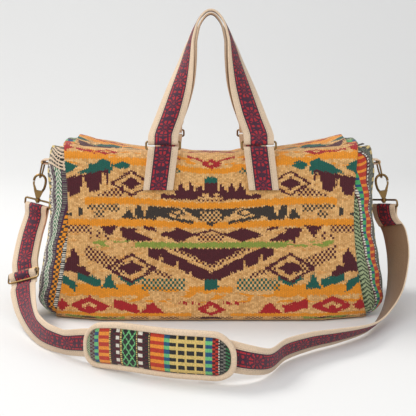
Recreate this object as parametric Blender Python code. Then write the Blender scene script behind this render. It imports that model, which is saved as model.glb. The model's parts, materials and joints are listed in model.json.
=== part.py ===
"""Woven travel bag: a soft duffel with a zip, two webbing handles and a clip-on shoulder strap.

Metres, +Z up, the front faces -Y. The origin is the middle of the flat base.
"""

import math

import bmesh
import bpy
from mathutils import Matrix, Vector
from mathutils.bvhtree import BVHTree

MM = 0.001

# Driving dimensions of the bag, in millimetres
BASE_HALF_WIDTH = 240.0
TOP_HALF_WIDTH = 222.0
WAIST_INSET = 14.0
HALF_DEPTH = 115.0
FRONT_RIDGE = 261.0
FRONT_CORNER_RISE = 12.0
REAR_RIDGE = 243.0
REAR_CORNER_RISE = 27.0
TOP_EDGE_RADIUS = 26.0
BASE_EDGE_RADIUS = 20.0
PANEL_BULGE = 7.0
CLOTH = 2.4
PANEL_COLUMNS = 16
END_DOME = 46.0
END_DOME_LOSS = 0.13
END_SEAM_INSET = 3.0
BOARD_THICKNESS = 2.5
BOARD_MARGIN = 14.0

# Zip
ZIP_HEIGHT = 245.0
ZIP_END_RISE = 16.0
ZIP_OPENING = 18.0
TAPE_WIDTH = 14.0
TAPE_THICKNESS = 1.0
ROW_GAP = 2.2
ROW_WIDTH = 2.5
ROW_HEIGHT = 2.2
SLIDER_LENGTH = 11.0
SLIDER_WIDTH = 9.6
SLIDER_PLATE = 1.2
SLIDER_PLACE = 172.0
PULL_LENGTH = 26.0
PULL_WIDTH = 7.0
PULL_THICKNESS = 1.5
STOP_LENGTH = 3.0
END_TAB_WIDTH = 15.0
END_TAB_REACH = 36.0
END_TAB_LIFT = 7.0

# Webbing and handles
WEBBING_WIDTH = 45.0
TAB_THICKNESS = 2.2
TAB_LENGTH = 62.0
TAB_SPREAD = 71.5
TAB_SPLAY = 8.0
HANDLE_THICKNESS = 3.2
HANDLE_TOP = 471.0
HANDLE_TOP_OFFSET = 25.0
FOLD_LENGTH = 34.0
RING_WIRE = 1.5
RING_INNER_WIDTH = 48.0
RING_PITCH = 12.0
RING_LEAN = 22.0
RING_HEIGHT = 262.0

# Side loops, rings and snap hooks
LOOP_WIDTH = 22.0
LOOP_THICKNESS = 2.0
LOOP_STAND_OFF = 22.0
LOOP_FLANGE = 6.0
SIDE_RING_BELOW_ZIP = 14.0
SIDE_RING_HEIGHT = ZIP_HEIGHT - SIDE_RING_BELOW_ZIP
SIDE_RING_HALF_WIDTH = 14.4
SIDE_RING_DROP = 27.0
SIDE_RING_WIRE = 1.4
SIDE_RING_TILT = 14.0
HOOK_TILT = 8.0
HOOK_WIRE = 2.0
HOOK_HALF_WIDTH = 9.5
HOOK_SHOULDER = 26.0
HOOK_NECK = 38.0
HOOK_THICKNESS = 5.6
GATE_THICKNESS = 2.4
GATE_PIN_RADIUS = 0.75
SWIVEL_RADIUS = 1.8
EYE_WIRE = 1.6
EYE_DROP = 41.5
EYE_PITCH = 11.0

# Shoulder strap
STRAP_THICKNESS = 2.5
ADJUSTER_WIRE = 1.5
ADJUSTER_PITCH = 12.0
ADJUSTER_PLACE = 136.0
PAD_START = 440.0
PAD_LENGTH = 212.0
PAD_WIDTH = 66.0
PAD_THICKNESS = 9.0
PAD_CORNER = 28.0
BINDING_WIDTH = 7.0
KEEPER_WIDTH = 20.0
KEEPER_THICKNESS = 2.0
KEEPER_INSET = 48.0

# Clearances
SEAT = 0.3
RUNNING = 0.4
HOOK_PLAY = 1.2
SOFT_SEAT = 0.6

UP = Vector((0.0, 0.0, 1.0))


def clear_scene():
    """Empty the scene of objects."""
    for obj in list(bpy.data.objects):
        bpy.data.objects.remove(obj, do_unlink=True)


def make_material(name, colour, roughness, metallic=0.0):
    """A plain principled material."""
    material = bpy.data.materials.new(name)
    material.use_nodes = True
    shader = material.node_tree.nodes["Principled BSDF"]
    shader.inputs["Base Color"].default_value = (*colour, 1.0)
    shader.inputs["Roughness"].default_value = roughness
    shader.inputs["Metallic"].default_value = metallic
    return material


def mesh_from(name, vertices, faces):
    """A mesh with its faces turned outwards; vertices are in millimetres."""
    mesh = bpy.data.meshes.new(name)
    mesh.from_pydata([tuple(Vector(v) * MM) for v in vertices], [], faces)
    shape = bmesh.new()
    shape.from_mesh(mesh)
    bmesh.ops.recalc_face_normals(shape, faces=shape.faces)
    shape.to_mesh(mesh)
    shape.free()
    mesh.update()
    return mesh


def place(name, mesh, material, origin=(0.0, 0.0, 0.0), smooth=True):
    """Put a mesh built in world millimetres on an object whose own origin is at `origin`."""
    offset = Vector(origin) * MM
    mesh.transform(Matrix.Translation(-offset))
    obj = bpy.data.objects.new(name, mesh)
    obj.location = offset
    bpy.context.scene.collection.objects.link(obj)
    mesh.materials.append(material)
    if smooth:
        mesh.shade_smooth()
        mesh.set_sharp_from_angle(angle=math.radians(40.0))
    return obj


def combine(obj, other, operation):
    """Join or cut a shape at once, and drop the helper."""
    modifier = obj.modifiers.new(operation.lower(), "BOOLEAN")
    modifier.operation = operation
    modifier.solver = "EXACT"
    modifier.object = other
    graph = bpy.context.evaluated_depsgraph_get()
    result = bpy.data.meshes.new_from_object(obj.evaluated_get(graph))
    obj.modifiers.remove(modifier)
    obj.data = result
    bpy.data.objects.remove(other, do_unlink=True)
    return obj


def helper(mesh):
    """A loose object for a Boolean."""
    obj = bpy.data.objects.new("helper", mesh)
    bpy.context.scene.collection.objects.link(obj)
    obj.display_type = "WIRE"
    obj.hide_render = True
    return obj


def box_mesh(low, high):
    """A box between two corners."""
    corners = [(x, y, z) for x in (low[0], high[0]) for y in (low[1], high[1]) for z in (low[2], high[2])]
    faces = [(0, 1, 3, 2), (4, 6, 7, 5), (0, 4, 5, 1), (2, 3, 7, 6), (0, 2, 6, 4), (1, 5, 7, 3)]
    return mesh_from("box", corners, faces)


def prism_mesh(outline, low, high, lift):
    """An outline given in a plane, pushed from low to high; lift turns (a, b, height) into a point."""
    count = len(outline)
    vertices = [lift(a, b, low) for a, b in outline] + [lift(a, b, high) for a, b in outline]
    faces = [(i, (i + 1) % count, count + (i + 1) % count, count + i) for i in range(count)]
    faces += [tuple(range(count)), tuple(range(count, 2 * count))]
    return mesh_from("prism", vertices, faces)


def cylinder_mesh(radius, low, high, lift, sides=16):
    """A cylinder along the height of lift(a, b, height)."""
    outline = [
        (radius * math.cos(math.tau * k / sides), radius * math.sin(math.tau * k / sides))
        for k in range(sides)
    ]
    return prism_mesh(outline, low, high, lift)


def turned_mesh(profile, sides=16):
    """A solid turned about the vertical; the profile's ends lie on the axis."""
    vertices = [(0.0, 0.0, profile[0][1]), (0.0, 0.0, profile[-1][1])]
    rims = profile[1:-1]
    for radius, height in rims:
        vertices += [
            (radius * math.cos(math.tau * k / sides), radius * math.sin(math.tau * k / sides), height)
            for k in range(sides)
        ]
    faces = []
    for k in range(sides):
        m = (k + 1) % sides
        last = 2 + (len(rims) - 1) * sides
        faces.append((0, 2 + k, 2 + m))
        faces.append((1, last + k, last + m))
        for r in range(len(rims) - 1):
            a = 2 + r * sides
            faces.append((a + k, a + m, a + sides + m, a + sides + k))
    return mesh_from("turned", vertices, faces)


def tube_mesh(points, radius, sides=8, closed=False):
    """A round wire along a list of points."""
    points = [Vector(p) for p in points]
    count = len(points)
    vertices = []
    side = None
    for i, point in enumerate(points):
        before = points[i - 1] if closed or i else point
        after = points[(i + 1) % count] if closed or i < count - 1 else point
        along = (after - before).normalized()
        if side is None:
            guide = UP if abs(along.z) < 0.9 else Vector((1.0, 0.0, 0.0))
            side = along.cross(guide).normalized()
        side = (side - along * side.dot(along)).normalized()
        other = along.cross(side)
        for k in range(sides):
            turn = math.tau * k / sides
            vertices.append(point + (side * math.cos(turn) + other * math.sin(turn)) * radius)
    faces = []
    for i in range(count if closed else count - 1):
        j = (i + 1) % count
        for k in range(sides):
            m = (k + 1) % sides
            faces.append((i * sides + k, i * sides + m, j * sides + m, j * sides + k))
    if not closed:
        faces.append(tuple(range(sides)))
        faces.append(tuple((count - 1) * sides + k for k in range(sides)))
    return mesh_from("tube", vertices, faces)


def strip_mesh(points, across, width, thickness):
    """A flat strip with a rectangular section; across holds one direction for each point."""
    vertices = []
    for i, point in enumerate(points):
        along = (points[min(i + 1, len(points) - 1)] - points[max(i - 1, 0)]).normalized()
        edge = across[i].normalized()
        normal = along.cross(edge).normalized()
        for a, b in ((-1, -1), (1, -1), (1, 1), (-1, 1)):
            vertices.append(point + edge * (a * width / 2) + normal * (b * thickness / 2))
    faces = []
    for i in range(len(points) - 1):
        for k in range(4):
            m = (k + 1) % 4
            faces.append((4 * i + k, 4 * i + m, 4 * i + 4 + m, 4 * i + 4 + k))
    last = 4 * (len(points) - 1)
    faces.append((0, 1, 2, 3))
    faces.append((last, last + 1, last + 2, last + 3))
    return mesh_from("strip", vertices, faces)


def arc(centre, radius, start, end, steps):
    """Points on an arc in a plane, angles in degrees."""
    return [
        (
            centre[0] + radius * math.cos(math.radians(start + (end - start) * k / steps)),
            centre[1] + radius * math.sin(math.radians(start + (end - start) * k / steps)),
        )
        for k in range(steps + 1)
    ]


def rounded_rectangle(width, height, radius, steps=4):
    """The outline of a rectangle with round corners, centred on the origin."""
    outline = []
    for turn, (a, b) in enumerate(((1, 1), (-1, 1), (-1, -1), (1, -1))):
        centre = (a * (width / 2 - radius), b * (height / 2 - radius))
        outline += arc(centre, radius, 90 * turn, 90 * turn + 90, steps)
    return outline


def ease(t):
    """0 to 1 with level ends."""
    t = min(max(t, 0.0), 1.0)
    return t * t * (3 - 2 * t)


class Strip:
    """The middle line of a strap, with the direction across the strap at each place."""

    STEPS = 16

    def __init__(self, stations):
        centres = [Vector(p) for p, _ in stations]
        across = [Vector(w).normalized() for _, w in stations]
        self.points = []
        self.across = []
        for i in range(len(centres) - 1):
            p0 = centres[i - 1] if i else centres[0] * 2 - centres[1]
            p3 = centres[i + 2] if i + 2 < len(centres) else centres[-1] * 2 - centres[-2]
            for k in range(self.STEPS):
                t = k / self.STEPS
                self.points.append(self.curve(p0, centres[i], centres[i + 1], p3, t))
                self.across.append(across[i].lerp(across[i + 1], ease(t)).normalized())
        self.points.append(centres[-1])
        self.across.append(across[-1])
        self.rest_on_floor()
        self.places = [0.0]
        for before, after in zip(self.points, self.points[1:]):
            self.places.append(self.places[-1] + (after - before).length)
        self.length = self.places[-1]

    def rest_on_floor(self):
        """Lift any point whose lower edge would be under the floor."""
        for i, point in enumerate(self.points):
            before = self.points[max(i - 1, 0)]
            after = self.points[min(i + 1, len(self.points) - 1)]
            normal = (after - before).cross(self.across[i]).normalized()
            drop = WEBBING_WIDTH / 2 * abs(self.across[i].z) + 2 * STRAP_THICKNESS * max(0.0, -normal.z)
            point.z = max(point.z, SEAT + drop)

    @staticmethod
    def curve(p0, p1, p2, p3, t):
        """A smooth curve through the points."""
        a = p1 * 2
        b = (p2 - p0) * t
        c = (p0 * 2 - p1 * 5 + p2 * 4 - p3) * (t * t)
        d = (p1 * 3 - p0 - p2 * 3 + p3) * (t * t * t)
        return (a + b + c + d) / 2

    def frame(self, place_on):
        """Point, direction along, direction across and outer normal at a distance from the start."""
        at = min(max(place_on, 0.0), self.length)
        i = 0
        while i < len(self.places) - 2 and self.places[i + 1] < at:
            i += 1
        share = (at - self.places[i]) / (self.places[i + 1] - self.places[i])
        point = self.points[i].lerp(self.points[i + 1], share)
        before = self.points[max(i - 1, 0)]
        after = self.points[min(i + 2, len(self.points) - 1)]
        along = (after - before).normalized()
        edge = self.across[i].lerp(self.across[i + 1], share).normalized()
        normal = along.cross(edge).normalized()
        return point + along * (place_on - at), along, edge, normal

    def at(self, place_on, offset=0.0, sideways=0.0):
        """A point beside the middle line."""
        point, _, edge, normal = self.frame(place_on)
        return point + edge * sideways + normal * offset

    def mesh(self, route, width, thickness):
        """A strap along a list of (distance, offset) pairs."""
        points = [self.at(s, n) for s, n in route]
        across = [self.frame(s)[2] for s, _ in route]
        return strip_mesh(points, across, width, thickness)


def fold_round(place_on, radius, sign, steps=6):
    """(distance, offset) pairs of a strap that turns round a bar, from the inner to the outer side."""
    return [(place_on - sign * a, b) for a, b in arc((0.0, 0.0), radius, -90, 90, steps)]


def half_width(z):
    """Half the bag's width at a height, along the seam of the end panels."""
    t = z / (FRONT_RIDGE + FRONT_CORNER_RISE)
    straight = BASE_HALF_WIDTH + (TOP_HALF_WIDTH - BASE_HALF_WIDTH) * t
    return straight - WAIST_INSET * math.sin(math.pi * min(max(t, 0.0), 1.0))


def corner_rise(u):
    """How far towards its full rise the top has come, from the middle (0) to the corners (1)."""
    t = abs(u)
    return t**4 * (5 - 4 * t)


def zip_height(u):
    """Height of the cloth's edge beside the zip: straight, and rising at both ends."""
    straight = 1 - 2 / PANEL_COLUMNS
    return ZIP_HEIGHT + ZIP_END_RISE * max(0.0, (abs(u) - straight) / (1 - straight))


def rounded_run(corners, radii, arc_steps, run_steps):
    """An open outline through corners, with each inner corner rounded and each straight run divided."""
    pieces = []
    for i in range(1, len(corners) - 1):
        here = Vector(corners[i])
        to_before = (Vector(corners[i - 1]) - here).normalized()
        to_after = (Vector(corners[i + 1]) - here).normalized()
        half = math.acos(max(-1.0, min(1.0, to_before.dot(to_after)))) / 2
        reach = radii[i - 1] / math.tan(half)
        start = here + to_before * reach
        end = here + to_after * reach
        centre = here + (to_before + to_after).normalized() * (radii[i - 1] / math.sin(half))
        first = start - centre
        turn = first.angle_signed(end - centre)
        pieces.append([centre + Matrix.Rotation(-turn * k / arc_steps, 2) @ first for k in range(arc_steps + 1)])
    outline = []
    ends = [Vector(corners[0])] + [piece[-1] for piece in pieces]
    starts = [piece[0] for piece in pieces] + [Vector(corners[-1])]
    for i, (start, end) in enumerate(zip(ends, starts)):
        outline += [start.lerp(end, k / run_steps[i]) for k in range(run_steps[i])]
        if i < len(pieces):
            outline += pieces[i][:-1]
    outline.append(Vector(corners[-1]))
    return [tuple(p) for p in outline]


def bag_section(u, inset=0.0):
    """(y, z) points of the cloth round the bag, from the front zip edge to the rear one."""
    depth = HALF_DEPTH - inset
    front = FRONT_RIDGE + FRONT_CORNER_RISE * corner_rise(u) - inset
    rear = REAR_RIDGE + REAR_CORNER_RISE * corner_rise(u) - inset
    zip_edge = zip_height(u) - inset
    corners = [
        (-ZIP_OPENING / 2, zip_edge),
        (-depth, front),
        (-depth, inset),
        (depth, inset),
        (depth, rear),
        (ZIP_OPENING / 2, zip_edge),
    ]
    top = TOP_EDGE_RADIUS - inset
    base = BASE_EDGE_RADIUS - inset
    return rounded_run(corners, (top, base, base, top), 4, (3, 5, 4, 5, 3))


def bulge(u, y, z):
    """How far the front or rear panel swells outwards."""
    share = (z - BASE_EDGE_RADIUS) / (REAR_RIDGE - BASE_EDGE_RADIUS - TOP_EDGE_RADIUS)
    if abs(y) < HALF_DEPTH - CLOTH or not 0 < share < 1:
        return 0.0
    return math.copysign(PANEL_BULGE * (1 - u * u) * math.sin(math.pi * share), y)


def build_wrap(material):
    """One cloth: down the front, under the base and up the back, with its two edges at the zip."""
    columns = PANEL_COLUMNS
    vertices = []
    for i in range(columns + 1):
        u = -1 + 2 * i / columns
        for y, z in bag_section(u):
            vertices.append((u * half_width(z), y + bulge(u, y, z), z))
    rows = len(vertices) // (columns + 1)
    faces = [
        (i * rows + k, i * rows + k + 1, (i + 1) * rows + k + 1, (i + 1) * rows + k)
        for i in range(columns)
        for k in range(rows - 1)
    ]
    mesh = mesh_from("body_wrap", vertices, faces)
    obj = place("body_wrap", mesh, material)
    middle = Vector((0.0, 0.0, FRONT_RIDGE / 2 * MM))
    face = mesh.polygons[0]
    if (face.center - middle).dot(face.normal) < 0:
        mesh.flip_normals()
    thicken(obj, CLOTH)
    return obj


def thicken(obj, thickness):
    """Give a sheet its thickness, inwards from the face that is seen."""
    modifier = obj.modifiers.new("thickness", "SOLIDIFY")
    modifier.thickness = thickness * MM
    modifier.offset = -1.0
    modifier.use_even_offset = False


def dome_share(z):
    """The ends sag: they swell less towards the top."""
    return 1 - END_DOME_LOSS * ease((z / FRONT_RIDGE - 0.3) / 0.4)


def build_end_panel(name, side, material):
    """A domed end, sewn inside the edge of the wrap and closed under the end of the zip."""
    edge_share = 1 - 2 * (END_SEAM_INSET + CLOTH) / TOP_HALF_WIDTH
    loop = bag_section(edge_share, CLOTH + SOFT_SEAT)
    middle = Vector((0.0, (FRONT_RIDGE + FRONT_CORNER_RISE) * 0.46))
    vertices = []
    shares = (1.0, 0.95, 0.87, 0.72, 0.48, 0.24)
    for share in shares:
        dome = END_DOME * (1 - share**7) ** 0.6
        for y, z in loop:
            point = middle + (Vector((y, z)) - middle) * share
            x = half_width(point.y) - END_SEAM_INSET + dome * dome_share(point.y)
            vertices.append((side * x, point.x, point.y))
    crown = half_width(middle.y) - END_SEAM_INSET + END_DOME * dome_share(middle.y)
    vertices.append((side * crown, middle.x, middle.y))
    count = len(loop)
    faces = []
    for r in range(len(shares) - 1):
        for k in range(count):
            m = (k + 1) % count
            faces.append((r * count + k, r * count + m, (r + 1) * count + m, (r + 1) * count + k))
    last = (len(shares) - 1) * count
    faces += [(last + k, last + (k + 1) % count, len(vertices) - 1) for k in range(count)]
    mesh = mesh_from(name, vertices, faces)
    obj = place(name, mesh, material)
    face = mesh.polygons[-1]
    if face.normal.x * side < 0:
        mesh.flip_normals()
    thicken(obj, CLOTH)
    return obj


def surface_of(obj):
    """A search tree of an object's finished surface."""
    return BVHTree.FromObject(obj, bpy.context.evaluated_depsgraph_get())


def hit(tree, start, direction):
    """Where a ray meets a surface, in millimetres."""
    point = tree.ray_cast(Vector(start) * MM, Vector(direction))[0]
    return point / MM


def build_board(material):
    """The stiff board that lies on the base."""
    width = 2 * (half_width(BASE_EDGE_RADIUS) - END_SEAM_INSET - CLOTH - BOARD_MARGIN)
    depth = 2 * (HALF_DEPTH - BASE_EDGE_RADIUS)
    low = CLOTH + SEAT
    outline = rounded_rectangle(width, depth, BASE_EDGE_RADIUS)
    mesh = prism_mesh(outline, low, low + BOARD_THICKNESS, lambda a, b, h: (a, b, h))
    return place("base_board", mesh, material)


def zip_line(reach, steps=12):
    """(x, height of the cloth's edge) along the zip, with points where the edge starts to rise."""
    straight = (1 - 2 / PANEL_COLUMNS) * half_width(ZIP_HEIGHT)
    inner = min(straight, reach)
    places = [-inner + 2 * inner * k / steps for k in range(steps + 1)]
    if reach > straight:
        places = [-reach] + places + [reach]
    return [(x, zip_height(x / half_width(ZIP_HEIGHT))) for x in places]


def zip_levels():
    """Heights below the cloth's edge of the tape's middle and the rows' middle."""
    tape = -CLOTH - 2 * SOFT_SEAT - TAPE_THICKNESS / 2
    return tape, tape


def build_zip(cloth, metal):
    """Two tapes, two rows of teeth, the stops, and the cloth tabs over both ends."""
    tape_level, row_level = zip_levels()
    reach = half_width(ZIP_HEIGHT) - END_SEAM_INSET - CLOTH - 4.0
    line = zip_line(reach)
    row_outer = ROW_GAP / 2 + ROW_WIDTH
    level = Vector((0.0, 1.0, 0.0))
    for name, side in (("front", -1), ("rear", 1)):
        middle = side * (row_outer + SEAT + TAPE_WIDTH / 2)
        points = [Vector((x, middle, z + tape_level)) for x, z in line]
        mesh = strip_mesh(points, [level] * len(points), TAPE_WIDTH, TAPE_THICKNESS)
        place(f"zip_tape_{name}", mesh, cloth)
        row = [(x, z) for x, z in zip_line(SLIDER_PLACE + SLIDER_LENGTH, 12)]
        middle = side * (ROW_GAP + ROW_WIDTH) / 2
        points = [Vector((x, middle, z + row_level)) for x, z in row]
        mesh = strip_mesh(points, [level] * len(points), ROW_WIDTH, ROW_HEIGHT)
        place(f"zip_row_{name}", mesh, metal)
        low = (SLIDER_PLACE + SLIDER_LENGTH + SEAT, side * row_outer, ZIP_HEIGHT + row_level - ROW_HEIGHT / 2)
        high = (low[0] + STOP_LENGTH, side * (row_outer - ROW_WIDTH), low[2] + ROW_HEIGHT + 0.4)
        place(f"zip_top_stop_{name}", box_mesh(low, high), metal, smooth=False)
    high = (-low[0], row_outer, low[2] + ROW_HEIGHT + 0.4)
    low = (-low[0] - STOP_LENGTH, -row_outer, low[2])
    place("zip_bottom_stop", box_mesh(low, high), metal, smooth=False)
    lift = tape_level + TAPE_THICKNESS + SEAT
    for name, side, reach_out in (("left", -1, END_TAB_REACH / 2), ("right", 1, END_TAB_REACH)):
        inner = [(x, z + lift) for x, z in line if x > reach - 16.0]
        start = (reach - 14.0, zip_height((reach - 14.0) / half_width(ZIP_HEIGHT)) + lift)
        end = (reach, inner[-1][1])
        run = [start, end]
        run += [
            (reach + reach_out * k / 4, end[1] + END_TAB_LIFT * (k / 4) ** 1.5 * reach_out / END_TAB_REACH)
            for k in range(1, 5)
        ]
        points = [Vector((side * x, 0.0, z)) for x, z in run]
        mesh = strip_mesh(points, [level] * len(points), END_TAB_WIDTH, TAPE_THICKNESS)
        place(f"zip_end_tab_{name}", mesh, cloth)


def build_slider(metal):
    """The slider's two plates and bridge round the rows, its bail, and the pull that turns in the bail."""
    _, row_level = zip_levels()
    middle = ZIP_HEIGHT + row_level
    inner = ROW_HEIGHT / 2 + RUNNING
    x0 = SLIDER_PLACE - SLIDER_LENGTH / 2
    x1 = SLIDER_PLACE + SLIDER_LENGTH / 2
    half = SLIDER_WIDTH / 2
    top = middle + inner + SLIDER_PLATE
    slider = place("zip_slider", box_mesh((x0, -half, middle + inner), (x1, half, top)), metal,
                   (SLIDER_PLACE, 0.0, middle), smooth=False)
    bridge = ROW_GAP / 2 - RUNNING
    lower = box_mesh((x0, -half, middle - inner - SLIDER_PLATE), (x1, half, middle - inner))
    post = box_mesh((x1 - 4.0, -bridge, middle - inner - 0.5), (x1 - 0.5, bridge, middle + inner + 0.5))
    bail_outline = [(-4.2, -0.6), (-4.2, 2.2), (-2.6, 3.8), (2.6, 3.8), (4.2, 2.2), (4.2, -0.6)]
    bail = prism_mesh(bail_outline, -1.3, 1.3, lambda a, b, h: (SLIDER_PLACE + a, h, top + b))
    window = box_mesh((SLIDER_PLACE - 3.0, -half, top - 0.05), (SLIDER_PLACE + 3.0, half, top + 2.6))
    loop = combine(helper(bail), helper(window), "DIFFERENCE")
    for piece in (helper(lower), helper(post), loop):
        combine(slider, piece, "UNION")
    pivot = top + 1.2
    plate = rounded_rectangle(PULL_LENGTH, PULL_WIDTH, 2.4)
    shift = SLIDER_PLACE - PULL_LENGTH / 2 + PULL_THICKNESS / 2
    low = pivot - PULL_THICKNESS / 2
    pull_mesh = prism_mesh(plate, low, low + PULL_THICKNESS, lambda a, b, h: (shift + a, b, h))
    pull = place("zip_pull", pull_mesh, metal, (SLIDER_PLACE, 0.0, pivot), smooth=False)
    slot_end = SLIDER_PLACE - PULL_THICKNESS / 2
    slot = box_mesh((slot_end - 6.0, -2.0, low - 1.0), (slot_end, 2.0, low + PULL_THICKNESS + 1.0))
    combine(pull, helper(slot), "DIFFERENCE")


def ring_outline(width, pitch, wire):
    """The middle line of a rectangular wire ring: its two long bars lie at 0 and at the pitch."""
    corner = 3.0
    outline = rounded_rectangle(width + 2 * wire, pitch, corner, 3)
    return [(a, b + pitch / 2) for a, b in outline]


def bar_y(side, trees):
    """Where the lower bars of the handle rings lie: just clear of the panel they hang on."""
    base = TAB_THICKNESS + SEAT / 2 + SEAT
    start = (TAB_SPREAD, side * HALF_DEPTH * 3, RING_HEIGHT - TAB_LENGTH * 0.6)
    return hit(trees["wrap"], start, (0.0, -side, 0.0)).y + side * base


def build_tabs(prefix, side, bar, trees, webbing):
    """The two webbing tabs sewn on a panel; each turns round the lower bar of a ring."""
    half = (TAB_THICKNESS + SEAT) / 2
    turn = RING_WIRE + RUNNING + TAB_THICKNESS / 2
    for name, end in (("left", -1), ("right", 1)):
        stations = []
        steps = 8
        for k in range(steps + 1):
            z = RING_HEIGHT - TAB_LENGTH * k / steps
            x = end * (TAB_SPREAD + TAB_SPLAY * k / steps)
            y = bar
            if z < RING_HEIGHT - TAB_LENGTH * 0.3:
                spots = [hit(trees["wrap"], (x + a, side * HALF_DEPTH * 3, z), (0, -side, 0)).y
                         for a in (-WEBBING_WIDTH / 2, 0.0, WEBBING_WIDTH / 2)]
                y = side * max(abs(bar), max(abs(s) for s in spots) + SEAT + TAB_THICKNESS + SEAT / 2)
            stations.append(((x, y, z), (-side, 0.0, 0.0)))
        strip = Strip(stations)
        doubled = [14.0 + (FOLD_LENGTH - 14.0) * k / 3 for k in range(4)]
        single = [FOLD_LENGTH + (TAB_LENGTH - FOLD_LENGTH) * k / 3 for k in range(1, 4)]
        route = [(s, -half) for s in reversed(doubled)] + [(4.0, -turn)]
        route += fold_round(0.0, turn, 1) + [(4.0, turn)]
        route += [(s, half) for s in doubled + single]
        mesh = strip.mesh(route, WEBBING_WIDTH, TAB_THICKNESS)
        place(f"{prefix}_{name}_tab", mesh, webbing)


def build_handle(prefix, side, bar, webbing, metal):
    """A webbing handle, its ends folded round the upper bars of two rectangular rings."""
    lean = math.radians(RING_LEAN)
    up = Vector((0.0, -side * math.sin(lean), math.cos(lean)))
    lower = Vector((0.0, bar, RING_HEIGHT))
    upper = lower + up * RING_PITCH
    for name, end in (("left", -1), ("right", 1)):
        middle = lower + Vector((end * TAB_SPREAD, 0.0, 0.0))
        points = [
            middle + Vector((a, 0.0, 0.0)) + up * b
            for a, b in ring_outline(RING_INNER_WIDTH, RING_PITCH, RING_WIRE)
        ]
        place(f"{prefix}_{name}_ring", tube_mesh(points, RING_WIRE, 8, True), metal, tuple(lower))
    rise = HANDLE_TOP - HANDLE_THICKNESS - upper.z
    spans = (
        (0.0, 1.0),
        (0.06, 0.985),
        (0.20, 0.84),
        (0.39, 0.67),
        (0.58, 0.525),
        (0.77, 0.405),
        (0.90, 0.28),
        (0.975, 0.14),
    )
    left = []
    for height, share in spans:
        y = upper.y + (side * HANDLE_TOP_OFFSET - upper.y) * height
        turn = math.radians(90.0 * ease(height * 1.02))
        across = (side * math.cos(turn), -side * math.sin(turn), 0.0)
        left.append(((-TAB_SPREAD * share, y, upper.z + rise * height), across))
    apex = ((0.0, side * HANDLE_TOP_OFFSET, upper.z + rise), (0.0, -side, 0.0))
    right = [((-x, y, z), (-a, b, c)) for (x, y, z), (a, b, c) in reversed(left)]
    strip = Strip(left + [apex] + right)
    half = (HANDLE_THICKNESS + SEAT) / 2
    turn = RING_WIRE + RUNNING + HANDLE_THICKNESS / 2
    doubled = [16.0 + (FOLD_LENGTH - 16.0) * k / 2 for k in range(3)]
    tail = [(s, -half) for s in reversed(doubled)] + [(4.0, -turn)]
    front = [(4.0, turn)] + [(s, half) for s in doubled]
    steps = 30
    inner = strip.length - 2 * FOLD_LENGTH
    route = tail + fold_round(0.0, turn, 1) + front
    route += [(FOLD_LENGTH + inner * k / steps, half) for k in range(1, steps)]
    route += [(strip.length - s, n) for s, n in reversed(front)]
    route += list(reversed(fold_round(strip.length, turn, -1)))
    route += [(strip.length - s, n) for s, n in reversed(tail)]
    mesh = strip.mesh(route, WEBBING_WIDTH, HANDLE_THICKNESS)
    place(f"{prefix}_handle", mesh, webbing, tuple(upper))


def build_side_loop(name, side, tree, webbing, metal):
    """A short webbing loop on an end panel, and the thin ring that hangs in it."""
    turn = SIDE_RING_WIRE + RUNNING + LOOP_THICKNESS / 2
    wall = hit(tree, (side * BASE_HALF_WIDTH * 2, 0.0, SIDE_RING_HEIGHT), (-side, 0.0, 0.0)).x
    wire_x = wall + side * LOOP_STAND_OFF
    route = []
    for lift in (1, -1):
        leg = []
        for step in (LOOP_FLANGE + 7.0, LOOP_FLANGE + 4.0, LOOP_FLANGE + 1.0, LOOP_FLANGE - 1.0):
            z = SIDE_RING_HEIGHT + lift * step
            spots = [hit(tree, (side * BASE_HALF_WIDTH * 2, y, z), (-side, 0.0, 0.0)).x
                     for y in (-LOOP_WIDTH / 2, 0.0, LOOP_WIDTH / 2)]
            proud = SOFT_SEAT + LOOP_THICKNESS / 2 + (2.0 if step < LOOP_FLANGE else 0.0)
            leg.append(Vector((side * (max(abs(s) for s in spots) + proud), 0.0, z)))
        leg.append(Vector((wire_x - side * 5.0, 0.0, SIDE_RING_HEIGHT + lift * turn * 1.1)))
        bend = [
            Vector((wire_x + side * turn * math.sin(a), 0.0, SIDE_RING_HEIGHT + lift * turn * math.cos(a)))
            for a in (math.radians(d) for d in (0.0, 30.0, 60.0))
        ]
        route.append(leg + bend)
    nose = Vector((wire_x + side * turn, 0.0, SIDE_RING_HEIGHT))
    points = route[0] + [nose] + list(reversed(route[1]))
    mesh = strip_mesh(points, [Vector((0.0, 1.0, 0.0))] * len(points), LOOP_WIDTH, LOOP_THICKNESS)
    place(f"{name}_side_loop", mesh, webbing)
    tilt = math.radians(SIDE_RING_TILT)
    down = Vector((side * math.sin(tilt), 0.0, -math.cos(tilt)))
    top = Vector((wire_x, 0.0, SIDE_RING_HEIGHT))
    half = SIDE_RING_HALF_WIDTH
    corner = 3.0
    outline = arc((half - corner, corner), corner, -90, 0, 3)
    outline += arc((0.0, SIDE_RING_DROP - half), half, 0, 180, 12)
    outline += arc((corner - half, corner), corner, 180, 270, 3)
    points = [top + Vector((0.0, a, 0.0)) + down * b for a, b in outline]
    place(f"{name}_side_ring", tube_mesh(points, SIDE_RING_WIRE, 8, True), metal, tuple(top))
    return top + down * SIDE_RING_DROP


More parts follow.
